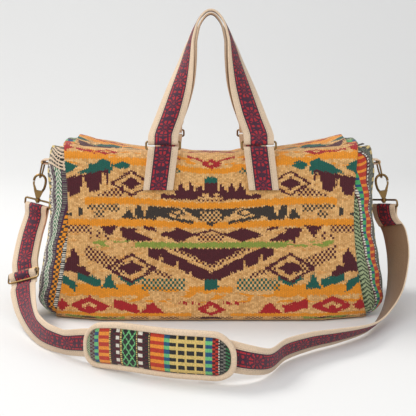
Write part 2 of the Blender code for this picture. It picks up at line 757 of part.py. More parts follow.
def build_hook(name, side, ring_bottom, metal):
    """A swivel snap hook: bow and body in one, gate, gate pin, and the rectangular eye it turns in.

    Its own frame has the top of the bow at the origin and its neck pointing down.
    """
    tilt = math.radians(HOOK_TILT)
    down = Vector((side * math.sin(tilt), 0.0, -math.cos(tilt)))
    rise = SIDE_RING_WIRE + HOOK_PLAY + HOOK_WIRE
    top = ring_bottom - down * rise
    holder = bpy.data.objects.new(f"{name}_hook_holder", None)
    bpy.context.scene.collection.objects.link(holder)
    holder.location = top * MM
    holder.rotation_euler = (0.0, -side * tilt, 0.0)
    r = HOOK_HALF_WIDTH

    def flat(a, b, h):
        return (side * a, h, b)

    half = HOOK_THICKNESS / 2
    wedge = [(-7.6, -HOOK_SHOULDER), (7.6, -HOOK_SHOULDER), (3.2, -HOOK_NECK), (-3.2, -HOOK_NECK)]
    body = helper(prism_mesh(wedge, -half, half, flat))
    boss = 2.3
    head = -EYE_DROP - boss - SEAT
    collar = -HOOK_NECK - 0.9
    spindle = [
        (0.0, -HOOK_NECK + 2.0),
        (2.6, -HOOK_NECK + 2.0),
        (3.0, collar),
        (SWIVEL_RADIUS, collar),
        (SWIVEL_RADIUS, head),
        (3.2, head),
        (2.6, head - 2.2),
        (0.0, head - 2.2),
    ]
    combine(body, helper(turned_mesh(spindle)), "UNION")
    pivot = (4.2, -HOOK_SHOULDER - 3.4)
    slot = GATE_THICKNESS / 2 + SEAT
    cutter = prism_mesh([(0.4, -HOOK_SHOULDER + 2.0), (11.0, -HOOK_SHOULDER + 2.0),
                         (11.0, pivot[1] - 3.1), (2.4, pivot[1] - 3.1)], -slot, slot, flat)
    combine(body, helper(cutter), "DIFFERENCE")
    hole = GATE_PIN_RADIUS + 0.2

    def across(a, b, h):
        return (side * (pivot[0] + a), h, pivot[1] + b)

    combine(body, helper(cylinder_mesh(hole, -half - 2.0, half + 2.0, across, 12)), "DIFFERENCE")
    bow = [(r, -r - 1.5)] + arc((0.0, -r), r, 0, 180, 10) + [(-r, -r - 5.0), (-r * 0.86, -HOOK_SHOULDER + 4.0),
                                                            (-r * 0.55, -HOOK_SHOULDER - 1.7)]
    combine(body, helper(tube_mesh([flat(a, b, 0.0) for a, b in bow], HOOK_WIRE, 10)), "UNION")
    add_part(f"{name}_hook_body", body, metal, holder, (0.0, 0.0, 0.0))
    outline = arc(pivot, 2.3, 150, 330, 6) + [(r + 1.3, -r - 6.0), (r + 1.3, -r - 2.8 - SEAT),
                                             (r - 1.5, -r - 1.7 - SEAT), (r - 1.6, -r - 7.0)]
    gate = helper(prism_mesh(outline, -GATE_THICKNESS / 2, GATE_THICKNESS / 2, flat))
    combine(gate, helper(cylinder_mesh(hole, -half, half, across, 12)), "DIFFERENCE")
    add_part(f"{name}_hook_gate", gate, metal, holder, flat(pivot[0], pivot[1], 0.0))
    pin = helper(cylinder_mesh(GATE_PIN_RADIUS, -half, half, across, 12))
    add_part(f"{name}_gate_pin", pin, metal, holder, flat(pivot[0], pivot[1], 0.0))
    return top, down


def add_part(name, obj, material, holder, origin):
    """Name a finished helper, hang it on its holder and move its origin onto its own axis."""
    obj.name = name
    obj.data.name = name
    obj.hide_render = False
    obj.display_type = "TEXTURED"
    offset = Vector(origin) * MM
    obj.data.transform(Matrix.Translation(-offset))
    obj.data.materials.clear()
    obj.data.materials.append(material)
    obj.data.shade_smooth()
    obj.data.set_sharp_from_angle(angle=math.radians(40.0))
    obj.parent = holder
    obj.location = offset


def build_eye(name, top, down, across, metal):
    """The rectangular eye under a hook: the swivel turns in its boss and the strap in its lower bar."""
    middle = top + down * EYE_DROP
    edge = (across - down * across.dot(down)).normalized()
    points = [middle + edge * a + down * b for a, b in ring_outline(RING_INNER_WIDTH, EYE_PITCH, EYE_WIRE)]
    eye = helper(tube_mesh(points, EYE_WIRE, 8, True))
    depth = down.cross(edge).normalized()

    def lift(a, b, h):
        return middle + edge * a + depth * b + down * h

    combine(eye, helper(cylinder_mesh(4.2, -2.3, 2.3, lift)), "UNION")
    combine(eye, helper(cylinder_mesh(SWIVEL_RADIUS + RUNNING, -6.0, 6.0, lift)), "DIFFERENCE")
    holder = bpy.data.objects.new(f"{name}_eye_holder", None)
    bpy.context.scene.collection.objects.link(holder)
    add_part(f"{name}_strap_eye", eye, metal, holder, (0.0, 0.0, 0.0))
    return middle + down * EYE_PITCH, edge, down


def strap_stations(left_eye, right_eye):
    """Middle of the strap and direction across it, from the left eye over the floor to the right eye."""
    left_bar, left_edge, left_down = left_eye
    right_bar, right_edge, right_down = right_eye
    return [
        (left_bar, left_edge),
        (left_bar + left_down * 18.0, left_edge),
        ((-292.0, -14.0, 112.0), (0.90, -0.40, 0.03)),
        ((-295.0, -46.0, 80.0), (0.93, -0.26, 0.22)),
        ((-290.0, -97.0, 54.0), (0.92, -0.21, 0.30)),
        ((-278.0, -146.0, 36.0), (0.73, -0.05, 0.68)),
        ((-262.0, -196.0, 27.0), (0.42, -0.06, 0.90)),
        ((-243.0, -247.0, 23.5), (0.10, -0.12, 0.98)),
        ((-222.0, -283.0, 22.0), (0.07, -0.36, 0.92)),
        ((-197.0, -309.0, 22.0), (0.05, -0.45, 0.88)),
        ((-165.0, -336.0, 29.0), (0.05, -0.32, 0.94)),
        ((-115.0, -372.0, 37.6), (0.0, -0.17, 0.98)),
        ((-50.0, -401.0, 37.6), (0.0, -0.15, 0.99)),
        ((10.0, -416.0, 37.6), (0.0, -0.15, 0.98)),
        ((48.0, -413.0, 29.5), (0.0, -0.32, 0.94)),
        ((74.0, -388.0, 21.0), (0.0, -0.50, 0.86)),
        ((96.0, -340.0, 19.5), (0.0, -0.57, 0.82)),
        ((135.0, -299.0, 17.8), (0.0, -0.65, 0.76)),
        ((178.0, -266.0, 16.0), (0.0, -0.75, 0.66)),
        ((220.0, -222.0, 13.5), (-0.04, -0.86, 0.50)),
        ((254.0, -160.0, 17.0), (0.12, -0.92, 0.36)),
        ((281.0, -106.0, 39.0), (0.46, -0.74, 0.48)),
        ((296.0, -54.0, 80.0), (0.64, -0.60, 0.48)),
        ((296.0, -15.0, 118.0), (0.68, -0.66, 0.30)),
        (right_bar + right_down * 18.0, right_edge),
        (right_bar, right_edge),
    ]


def strap_route(strip):
    """(distance, offset) pairs of the strap: sewn to the adjuster, up to the left eye and back down,
    through the adjuster, along the floor and round the right eye."""
    half = (STRAP_THICKNESS + SEAT) / 2
    turn = EYE_WIRE + RUNNING + STRAP_THICKNESS / 2
    place_on = ADJUSTER_PLACE
    pitch = ADJUSTER_PITCH
    hug = ADJUSTER_WIRE + RUNNING + STRAP_THICKNESS / 2
    layer = STRAP_THICKNESS + SEAT
    route = [(place_on + a, b) for a, b in arc((0.0, 0.0), hug, 120, -90, 7)]
    sewn = ((4.0, hug + 0.7), (8.0, hug + layer + 0.3), (pitch, hug + layer + 0.6), (pitch + 5.0, hug + layer + 0.3))
    route += [(place_on - s, -n) for s, n in sewn]
    steps = 6
    start = place_on - pitch - 22.0
    route += [(start + (14.0 - start) * k / steps, -half) for k in range(steps + 1)]
    route += [(4.0, -turn)]
    route += fold_round(0.0, turn, 1)
    route += [(4.0, turn), (14.0, half)]
    route += [(14.0 + (start - 14.0) * k / steps, half) for k in range(1, steps + 1)]
    crest = hug + layer
    dip = hug + 0.5
    rise = ((pitch + 4.0, -dip), (pitch, -dip), (8.6, 1.2 - dip), (6.9, 1.2), (5.6, crest - 1.9), (2.6, crest))
    route += [(place_on - s, n) for s, n in rise]
    route += [(place_on + s, n) for s, n in reversed(rise)]
    route += [(place_on + pitch + 22.0, half)]
    begin = place_on + pitch + 22.0
    end = strip.length - 14.0
    steps = 64
    route += [(begin + (end - begin) * k / steps, half) for k in range(1, steps + 1)]
    route += [(strip.length - 4.0, turn)]
    route += list(reversed(fold_round(strip.length, turn, -1)))
    route += [(strip.length - s, n) for s, n in ((4.0, -turn), (14.0, -half), (24.0, -half), (FOLD_LENGTH, -half))]
    return route


def build_adjuster(strip, metal):
    """The three-bar slide: the strap's end is sewn round its middle bar."""
    _, along, edge, normal = strip.frame(ADJUSTER_PLACE)
    middle = strip.at(ADJUSTER_PLACE)
    width = RING_INNER_WIDTH + 1.0
    outline = rounded_rectangle(width + 2 * ADJUSTER_WIRE, 2 * ADJUSTER_PITCH, 4.0, 3)
    frame = helper(tube_mesh([middle + edge * a + along * b for a, b in outline], ADJUSTER_WIRE, 8, True))
    reach = width / 2 + ADJUSTER_WIRE
    bar = tube_mesh([middle - edge * reach, middle + edge * reach], ADJUSTER_WIRE * 0.98, 8)
    combine(frame, helper(bar), "UNION")
    holder = bpy.data.objects.new("adjuster_holder", None)
    bpy.context.scene.collection.objects.link(holder)
    add_part("strap_adjuster", frame, metal, holder, (0.0, 0.0, 0.0))


def pad_run(margin):
    """(distance from the pad's end, half height) pairs of an outline drawn `margin` inside the pad's own."""
    radius = PAD_CORNER - margin
    half = PAD_WIDTH / 2 - margin
    corner = [
        (margin + radius * (1 - math.cos(math.radians(a))), half - radius * (1 - math.sin(math.radians(a))))
        for a in (0.0, 22.5, 45.0, 67.5, 90.0)
    ]
    straight = PAD_LENGTH - 2 * PAD_CORNER
    steps = 12
    run = corner + [(PAD_CORNER + straight * k / steps, half) for k in range(1, steps)]
    return run + [(PAD_LENGTH - s, h) for s, h in reversed(corner)]


def build_pad(strip, textile, binding, webbing):
    """The shoulder pad, its edge binding, and the two keepers behind it that hold the strap."""
    strap_front = STRAP_THICKNESS + SEAT / 2
    back = strap_front + SOFT_SEAT + SEAT
    front = back + PAD_THICKNESS
    shares = (-1.0, -0.8, -0.4, 0.0, 0.4, 0.8, 1.0)
    vertices = []
    run = pad_run(BINDING_WIDTH + SEAT)
    for s, half in run:
        rim = 0.35 + 0.65 * min(1.0, half / (PAD_WIDTH / 2 - BINDING_WIDTH - SEAT))
        crown = [(w, back + PAD_THICKNESS * (0.7 + 0.3 * rim * (1 - w**4))) for w in shares]
        base = [(w, back + 0.8 * w**4) for w in reversed(shares)]
        vertices += [strip.at(PAD_START + s, n, half * w) for w, n in crown + base]
    around = 2 * len(shares)
    faces = [
        (i * around + k, i * around + (k + 1) % around, (i + 1) * around + (k + 1) % around, (i + 1) * around + k)
        for i in range(len(run) - 1)
        for k in range(around)
    ]
    faces += [tuple(range(around)), tuple(range(len(vertices) - around, len(vertices)))]
    place("shoulder_pad", mesh_from("shoulder_pad", vertices, faces), textile)
    low = back + 0.8
    high = back + PAD_THICKNESS * 0.8
    loops = []
    for margin in (0.0, BINDING_WIDTH):
        upper = pad_run(margin)
        loop = upper + [(s, -h) for s, h in reversed(upper)]
        loops.append(loop)
    count = len(loops[0])
    rings = ((loops[0], low), (loops[0], high), (loops[1], high), (loops[1], low))
    vertices = [strip.at(PAD_START + s, level, h) for loop, level in rings for s, h in loop]
    faces = []
    for r in range(4):
        for k in range(count):
            m = (k + 1) % count
            s = (r + 1) % 4
            faces.append((r * count + k, r * count + m, s * count + m, s * count + k))
    place("pad_binding", mesh_from("pad_binding", vertices, faces), binding)
    reach = WEBBING_WIDTH / 2 + KEEPER_THICKNESS / 2 + SOFT_SEAT
    behind = SEAT / 2 - 2 * SOFT_SEAT - KEEPER_THICKNESS / 2
    seat = back - SEAT - KEEPER_THICKNESS / 2
    for name, place_on in (("left", PAD_START + KEEPER_INSET), ("right", PAD_START + PAD_LENGTH - KEEPER_INSET)):
        route = [(-reach - 3.0, seat), (-reach, seat - 0.4), (-reach + 0.4, behind), (0.0, behind),
                 (reach - 0.4, behind), (reach, seat - 0.4), (reach + 3.0, seat)]
        points = [strip.at(place_on, n, w) for w, n in route]
        along = strip.frame(place_on)[1]
        mesh = strip_mesh(points, [along] * len(points), KEEPER_WIDTH, KEEPER_THICKNESS)
        place(f"pad_keeper_{name}", mesh, webbing)


def main():
    """Build the bag from its cloth out to the strap."""
    clear_scene()
    textile = make_material("woven_textile", (0.72, 0.45, 0.20), 0.9)
    striped = make_material("striped_textile", (0.40, 0.38, 0.28), 0.9)
    dark_cloth = make_material("dark_cloth", (0.06, 0.05, 0.04), 0.85)
    webbing = make_material("banded_webbing", (0.42, 0.05, 0.09), 0.85)
    canvas = make_material("cream_canvas", (0.80, 0.64, 0.48), 0.85)
    board = make_material("board", (0.25, 0.22, 0.18), 0.8)
    bronze = make_material("aged_bronze", (0.28, 0.21, 0.11), 0.4, 1.0)
    wrap = build_wrap(textile)
    panels = {
        "left": build_end_panel("left_end_panel", -1, striped),
        "right": build_end_panel("right_end_panel", 1, striped),
    }
    build_board(board)
    build_zip(dark_cloth, bronze)
    build_slider(bronze)
    bpy.context.view_layer.update()
    trees = {"wrap": surface_of(wrap)}
    for prefix, side in (("front", -1), ("rear", 1)):
        bar = bar_y(side, trees)
        build_tabs(prefix, side, bar, trees, webbing)
        build_handle(prefix, side, bar, webbing, bronze)
    eyes = {}
    for name, side, across in (("left", -1, (0.86, -0.51, 0.0)), ("right", 1, (0.70, -0.71, 0.0))):
        ring_bottom = build_side_loop(name, side, surface_of(panels[name]), webbing, bronze)
        top, down = build_hook(name, side, ring_bottom, bronze)
        eyes[name] = build_eye(name, top, down, Vector(across), bronze)
    strip = Strip(strap_stations(eyes["left"], eyes["right"]))
    place("shoulder_strap", strip.mesh(strap_route(strip), WEBBING_WIDTH, STRAP_THICKNESS), webbing)
    build_adjuster(strip, bronze)
    build_pad(strip, striped, canvas, webbing)
    print("strap length on its middle line, mm:", round(strip.length, 1))
    print("eyes:", [tuple(round(c, 2) for c in eyes[k][0]) for k in eyes])


main()
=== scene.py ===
"""Looks of the woven travel bag: patterned cloth, striped ends, banded webbing, bronze fittings."""

import json
import logging
import math
from dataclasses import dataclass, field, replace
from enum import Enum

import bpy
from mathutils import Matrix, Vector, noise


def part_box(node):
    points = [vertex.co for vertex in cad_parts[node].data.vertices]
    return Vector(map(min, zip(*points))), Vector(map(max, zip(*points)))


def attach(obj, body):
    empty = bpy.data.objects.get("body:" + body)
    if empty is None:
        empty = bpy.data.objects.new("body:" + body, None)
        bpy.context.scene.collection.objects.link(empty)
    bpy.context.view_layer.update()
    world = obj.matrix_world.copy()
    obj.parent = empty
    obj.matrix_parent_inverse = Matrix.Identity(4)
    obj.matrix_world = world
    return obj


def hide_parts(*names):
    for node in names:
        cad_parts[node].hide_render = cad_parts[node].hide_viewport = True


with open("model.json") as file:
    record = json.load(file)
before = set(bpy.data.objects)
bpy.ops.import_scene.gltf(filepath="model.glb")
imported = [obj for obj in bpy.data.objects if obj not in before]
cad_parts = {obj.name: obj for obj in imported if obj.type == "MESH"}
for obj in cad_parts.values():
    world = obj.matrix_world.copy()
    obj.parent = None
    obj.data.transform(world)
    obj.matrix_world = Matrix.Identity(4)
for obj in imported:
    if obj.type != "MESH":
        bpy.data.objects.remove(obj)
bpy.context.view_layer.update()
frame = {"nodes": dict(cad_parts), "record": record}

log = logging.getLogger("travel_bag")

MM = 0.001
Point = tuple[float, float]
Colour = tuple[float, float, float]

# Body of the bag
BASE_HALF_WIDTH = 240.0
TOP_HALF_WIDTH = 222.0
WAIST_INSET = 14.0
HALF_DEPTH = 115.0
FRONT_RIDGE = 261.0
FRONT_CORNER_RISE = 12.0
REAR_RIDGE = 243.0
REAR_CORNER_RISE = 27.0
TOP_EDGE_RADIUS = 26.0
BASE_EDGE_RADIUS = 20.0
PANEL_BULGE = 7.0
CLOTH = 2.4
END_DOME = 46.0
END_DOME_LOSS = 0.13
END_SEAM_INSET = 3.0
ZIP_HEIGHT = 245.0
ZIP_END_RISE = 16.0
ZIP_STRAIGHT_SHARE = 0.875
ZIP_OPENING = 18.0

# Clearances
RUNNING = 0.4
SEAT = 0.3

# Webbing, tabs and rings
WEBBING_WIDTH = 45.0
BAND_HALF_WIDTH = 12.5
TAB_THICKNESS = 2.2
HANDLE_THICKNESS = 3.2
STRAP_THICKNESS = 2.5
TAB_LENGTH = 62.0
TAB_SPLAY = 8.0
FOLD_LENGTH = 34.0
RING_HEIGHT = 262.0
RING_PITCH = 12.0
RING_LEAN = 22.0
RING_WIRE = 1.5

# Side loops and hooks
LOOP_WIDTH = 22.0
LOOP_THICKNESS = 2.0
SIDE_RING_HEIGHT = 231.0
SIDE_RING_WIRE = 1.4
EYE_WIRE = 1.6
HOOK_TILT = 8.0

# Places that the CAD part works out on its own surfaces: the rings' lower bars and the strap eyes
FRONT_BAR = 118.042
REAR_BAR = 116.396
EYE_REACH = 282.33
EYE_HEIGHT = 157.37


def linear(red: int, green: int, blue: int) -> Colour:
    """Turn a yarn colour written as screen values into linear light.

    Args:
        red: Red from 0 to 255.
        green: Green from 0 to 255.
        blue: Blue from 0 to 255.

    Returns:
        The three linear values.
    """
    values = []
    for part in (red, green, blue):
        share = part / 255.0
        values.append(share / 12.92 if share <= 0.04045 else ((share + 0.055) / 1.055) ** 2.4)
    return (values[0], values[1], values[2])


class Yarn(Enum):
    """Dyed yarns of the cloth and webbing."""

    TAN = linear(214, 156, 88)
    PALE_TAN = linear(240, 190, 124)
    MUSTARD = linear(240, 150, 26)
    MAROON = linear(78, 12, 26)
    TEAL = linear(12, 92, 78)
    RED = linear(176, 24, 30)
    CHARCOAL = linear(56, 47, 40)
    LEAF = linear(142, 158, 62)
    CREAM = linear(232, 206, 176)
    BAND_RED = linear(170, 34, 48)
    BAND_NAVY = linear(38, 24, 48)
    # Painted shade: the cream canvas as it looks in shadow, used for the webbing's back face. The same brown
    # is also the cream canvas's random soil and the colour of its stitch rows.
    STRAP_BACK = linear(150, 116, 84)
    BLACK = linear(30, 28, 28)
    WHITE = linear(225, 220, 205)
    GREEN = linear(52, 120, 72)
    DARK_GREEN = linear(58, 72, 48)
    PALE_GREEN = linear(110, 190, 120)
    LIME = linear(72, 168, 98)
    LEAF_PALE = linear(168, 182, 138)
    BLUE = linear(30, 80, 120)
    ORANGE = linear(238, 146, 42)
    BRICK = linear(190, 50, 25)
    PURPLE = linear(72, 30, 60)
    GREY = linear(120, 118, 108)
    YELLOW = linear(222, 192, 112)
    DARK_TAPE = linear(42, 38, 32)


@dataclass(frozen=True)
class Signal:
    """A number or colour travelling between shader nodes, with plain arithmetic."""

    loom: "Loom"
    socket: bpy.types.NodeSocket

    def __add__(self, other: "Signal | float") -> "Signal":
        """Add."""
        return self.loom.math("ADD", self, other)

    __radd__ = __add__

    def __sub__(self, other: "Signal | float") -> "Signal":
        """Subtract."""
        return self.loom.math("SUBTRACT", self, other)

    def __rsub__(self, other: float) -> "Signal":
        """Subtract from a number."""
        return self.loom.math("SUBTRACT", other, self)

    def __mul__(self, other: "Signal | float") -> "Signal":
        """Multiply."""
        return self.loom.math("MULTIPLY", self, other)

    __rmul__ = __mul__

    def __truediv__(self, other: "Signal | float") -> "Signal":
        """Divide."""
        return self.loom.math("DIVIDE", self, other)

    def __rtruediv__(self, other: float) -> "Signal":
        """Divide a number."""
        return self.loom.math("DIVIDE", other, self)

    def __lt__(self, other: "Signal | float") -> "Signal":
        """Give 1 where this is less."""
        return self.loom.math("LESS_THAN", self, other)

    def __gt__(self, other: "Signal | float") -> "Signal":
        """Give 1 where this is more."""
        return self.loom.math("GREATER_THAN", self, other)

    def __or__(self, other: "Signal") -> "Signal":
        """Join two shapes."""
        return self.loom.math("MAXIMUM", self, other)

    def __and__(self, other: "Signal") -> "Signal":
        """Keep where two shapes meet."""
        return self.loom.math("MINIMUM", self, other)

    def __abs__(self) -> "Signal":
        """Drop the sign."""
        return self.loom.math("ABSOLUTE", self)

    def __mod__(self, other: float) -> "Signal":
        """Wrap round into a repeat."""
        return self.loom.math("FLOORED_MODULO", self, other)

    def floor(self) -> "Signal":
        """Give the whole number below."""
        return self.loom.math("FLOOR", self)

    def between(self, low: float, high: float) -> "Signal":
        """Give 1 inside a range."""
        return abs(self - (low + high) / 2) < (high - low) / 2


@dataclass
class Loom:
    """Builds the node tree of one material."""

    name: str
    material: bpy.types.Material = field(init=False)
    tree: bpy.types.NodeTree = field(init=False)

    def __post_init__(self) -> None:
        """Start with an empty material."""
        self.material = bpy.data.materials.new(self.name)
        self.material.use_nodes = True
        self.tree = self.material.node_tree
        self.tree.nodes.clear()

    def node(self, kind: str, settings: dict[str, object], inputs: dict[str | int, object]) -> bpy.types.Node:
        """Add any node.

        Args:
            kind: The node's type.
            settings: Its own settings by name.
            inputs: Values or signals for its sockets.

        Returns:
            The node.
        """
        made = self.tree.nodes.new(kind)
        for name, value in settings.items():
            setattr(made, name, value)
        for key, value in inputs.items():
            if isinstance(value, Signal):
                self.tree.links.new(value.socket, made.inputs[key])
            else:
                made.inputs[key].default_value = value
        return made

    def out(self, made: bpy.types.Node, key: str | int = 0) -> Signal:
        """Take a node's output."""
        return Signal(self, made.outputs[key])

    def math(self, operation: str, *values: "Signal | float") -> Signal:
        """Do arithmetic."""
        return self.out(self.node("ShaderNodeMath", {"operation": operation}, dict(enumerate(values))))

    def uv(self) -> tuple[Signal, Signal]:
        """Read the cloth's own coordinates, in millimetres.

        Returns:
            The coordinate across and along.
        """
        source = self.node("ShaderNodeUVMap", {"uv_map": "cloth"}, {})
        parts = self.node("ShaderNodeSeparateXYZ", {}, {0: self.out(source)})
        return self.out(parts, 0), self.out(parts, 1)

    def vector(self, x: "Signal | float", y: "Signal | float", z: "Signal | float" = 0.0) -> Signal:
        """Join three numbers."""
        return self.out(self.node("ShaderNodeCombineXYZ", {}, {0: x, 1: y, 2: z}))

    def mix(self, share: "Signal | float", first: "Signal | Colour", second: "Signal | Colour") -> Signal:
        """Blend two colours.

        Args:
            share: 0 for the first, 1 for the second.
            first: A colour.
            second: Another colour.

        Returns:
            The blended colour.
        """
        pair = [(*c, 1.0) if isinstance(c, tuple) else c for c in (first, second)]
        made = self.node("ShaderNodeMix", {"data_type": "RGBA"}, {0: share, 6: pair[0], 7: pair[1]})
        return self.out(made, 2)

    def scatter(self, where: Signal) -> Signal:
        """Give each stitch its own number from 0 to 1."""
        return self.out(self.node("ShaderNodeTexWhiteNoise", {"noise_dimensions": "3D"}, {0: where}))

    def cloud(self, where: Signal, scale: float, detail: float = 2.0) -> Signal:
        """Give a soft noise about one half."""
        made = self.node("ShaderNodeTexNoise", {}, {"Vector": where, "Scale": scale, "Detail": detail})
        return self.out(made, 0)

    def place(self) -> Signal:
        """Read the point's place in the object."""
        return self.out(self.node("ShaderNodeTexCoord", {}, {}), "Object")

    def shaded(self, colour: Signal, shade: Signal) -> Signal:
        """Darken or lighten a colour by a number.

        Args:
            colour: The colour.
            shade: 1 leaves it as it is.

        Returns:
            The shaded colour.
        """
        settings = {"data_type": "RGBA", "blend_type": "MULTIPLY"}
        made = self.node("ShaderNodeMix", settings, {0: 1.0, 6: colour, 7: self.vector(shade, shade, shade)})
        return self.out(made, 2)

    def dress(self, colour: Signal, roughness: "Signal | float", height: Signal, depth: float,
              metallic: float = 0.0, sheen: float = 0.0) -> bpy.types.Material:
        """Finish the material.

        Args:
            colour: Base colour.
            roughness: Roughness.
            height: Bump height, 0 to 1.
            depth: Bump distance in millimetres.
            metallic: Metal share.
            sheen: Weight of the cloth's sheen.

        Returns:
            The material.
        """
        bump = self.node("ShaderNodeBump", {}, {"Strength": 0.9, "Distance": depth * MM, "Height": height})
        shader = self.node("ShaderNodeBsdfPrincipled", {}, {
            "Base Color": colour,
            "Roughness": roughness,
            "Metallic": metallic,
            "Sheen Weight": sheen,
            "Normal": self.out(bump),
        })
        self.node("ShaderNodeOutputMaterial", {}, {"Surface": self.out(shader)})
        return self.material


@dataclass(frozen=True)
class Chart:
    """Stitch coordinates of a woven figure: distance from its middle line, and row."""

    across: Signal
    row: Signal
    odd: Signal

    def box(self, near: float, far: float, top: float, foot: float) -> Signal:
        """Draw a rectangle."""
        return self.across.between(near, far) & self.row.between(top, foot)

    def diamond(self, across: float, row: float, half_width: float, half_height: float,
                hollow: float = 0.0) -> Signal:
        """Draw a diamond, or its outline."""
        reach = abs(self.across - across) / half_width + abs(self.row - row) / half_height
        return reach.between(hollow, 1.0) if hollow else reach < 1.0

    def spike(self, across: float, half_width: float, foot: float, tip: float) -> Signal:
        """Draw a triangle from its foot row to its tip row.

        Args:
            across: Middle across.
            half_width: Half the foot's width.
            foot: Row of the foot.
            tip: Row of the tip.

        Returns:
            The mask.
        """
        share = (self.row - tip) * (1.0 / (foot - tip))
        inside = abs(self.across - across) < share * half_width
        return inside & (share < 1.0)

    def slope(self, start: Point, end: Point, height: float) -> Signal:
        """Draw a leaning band.

        Args:
            start: Upper edge's first point, as across and row.
            end: Upper edge's last point.
            height: Rows the band is tall.

        Returns:
            The mask.
        """
        fall = (end[1] - start[1]) / (end[0] - start[0])
        below = self.row - (self.across - start[0]) * fall
        low, high = sorted((start[0], end[0]))
        return below.between(start[1], start[1] + height) & self.across.between(low, high)


def any_of(*shapes: Signal) -> Signal:
    """Join shapes.

    Args:
        shapes: Masks.

    Returns:
        Their union.
    """
    joined = shapes[0]
    for shape in shapes[1:]:
        joined = joined | shape
    return joined


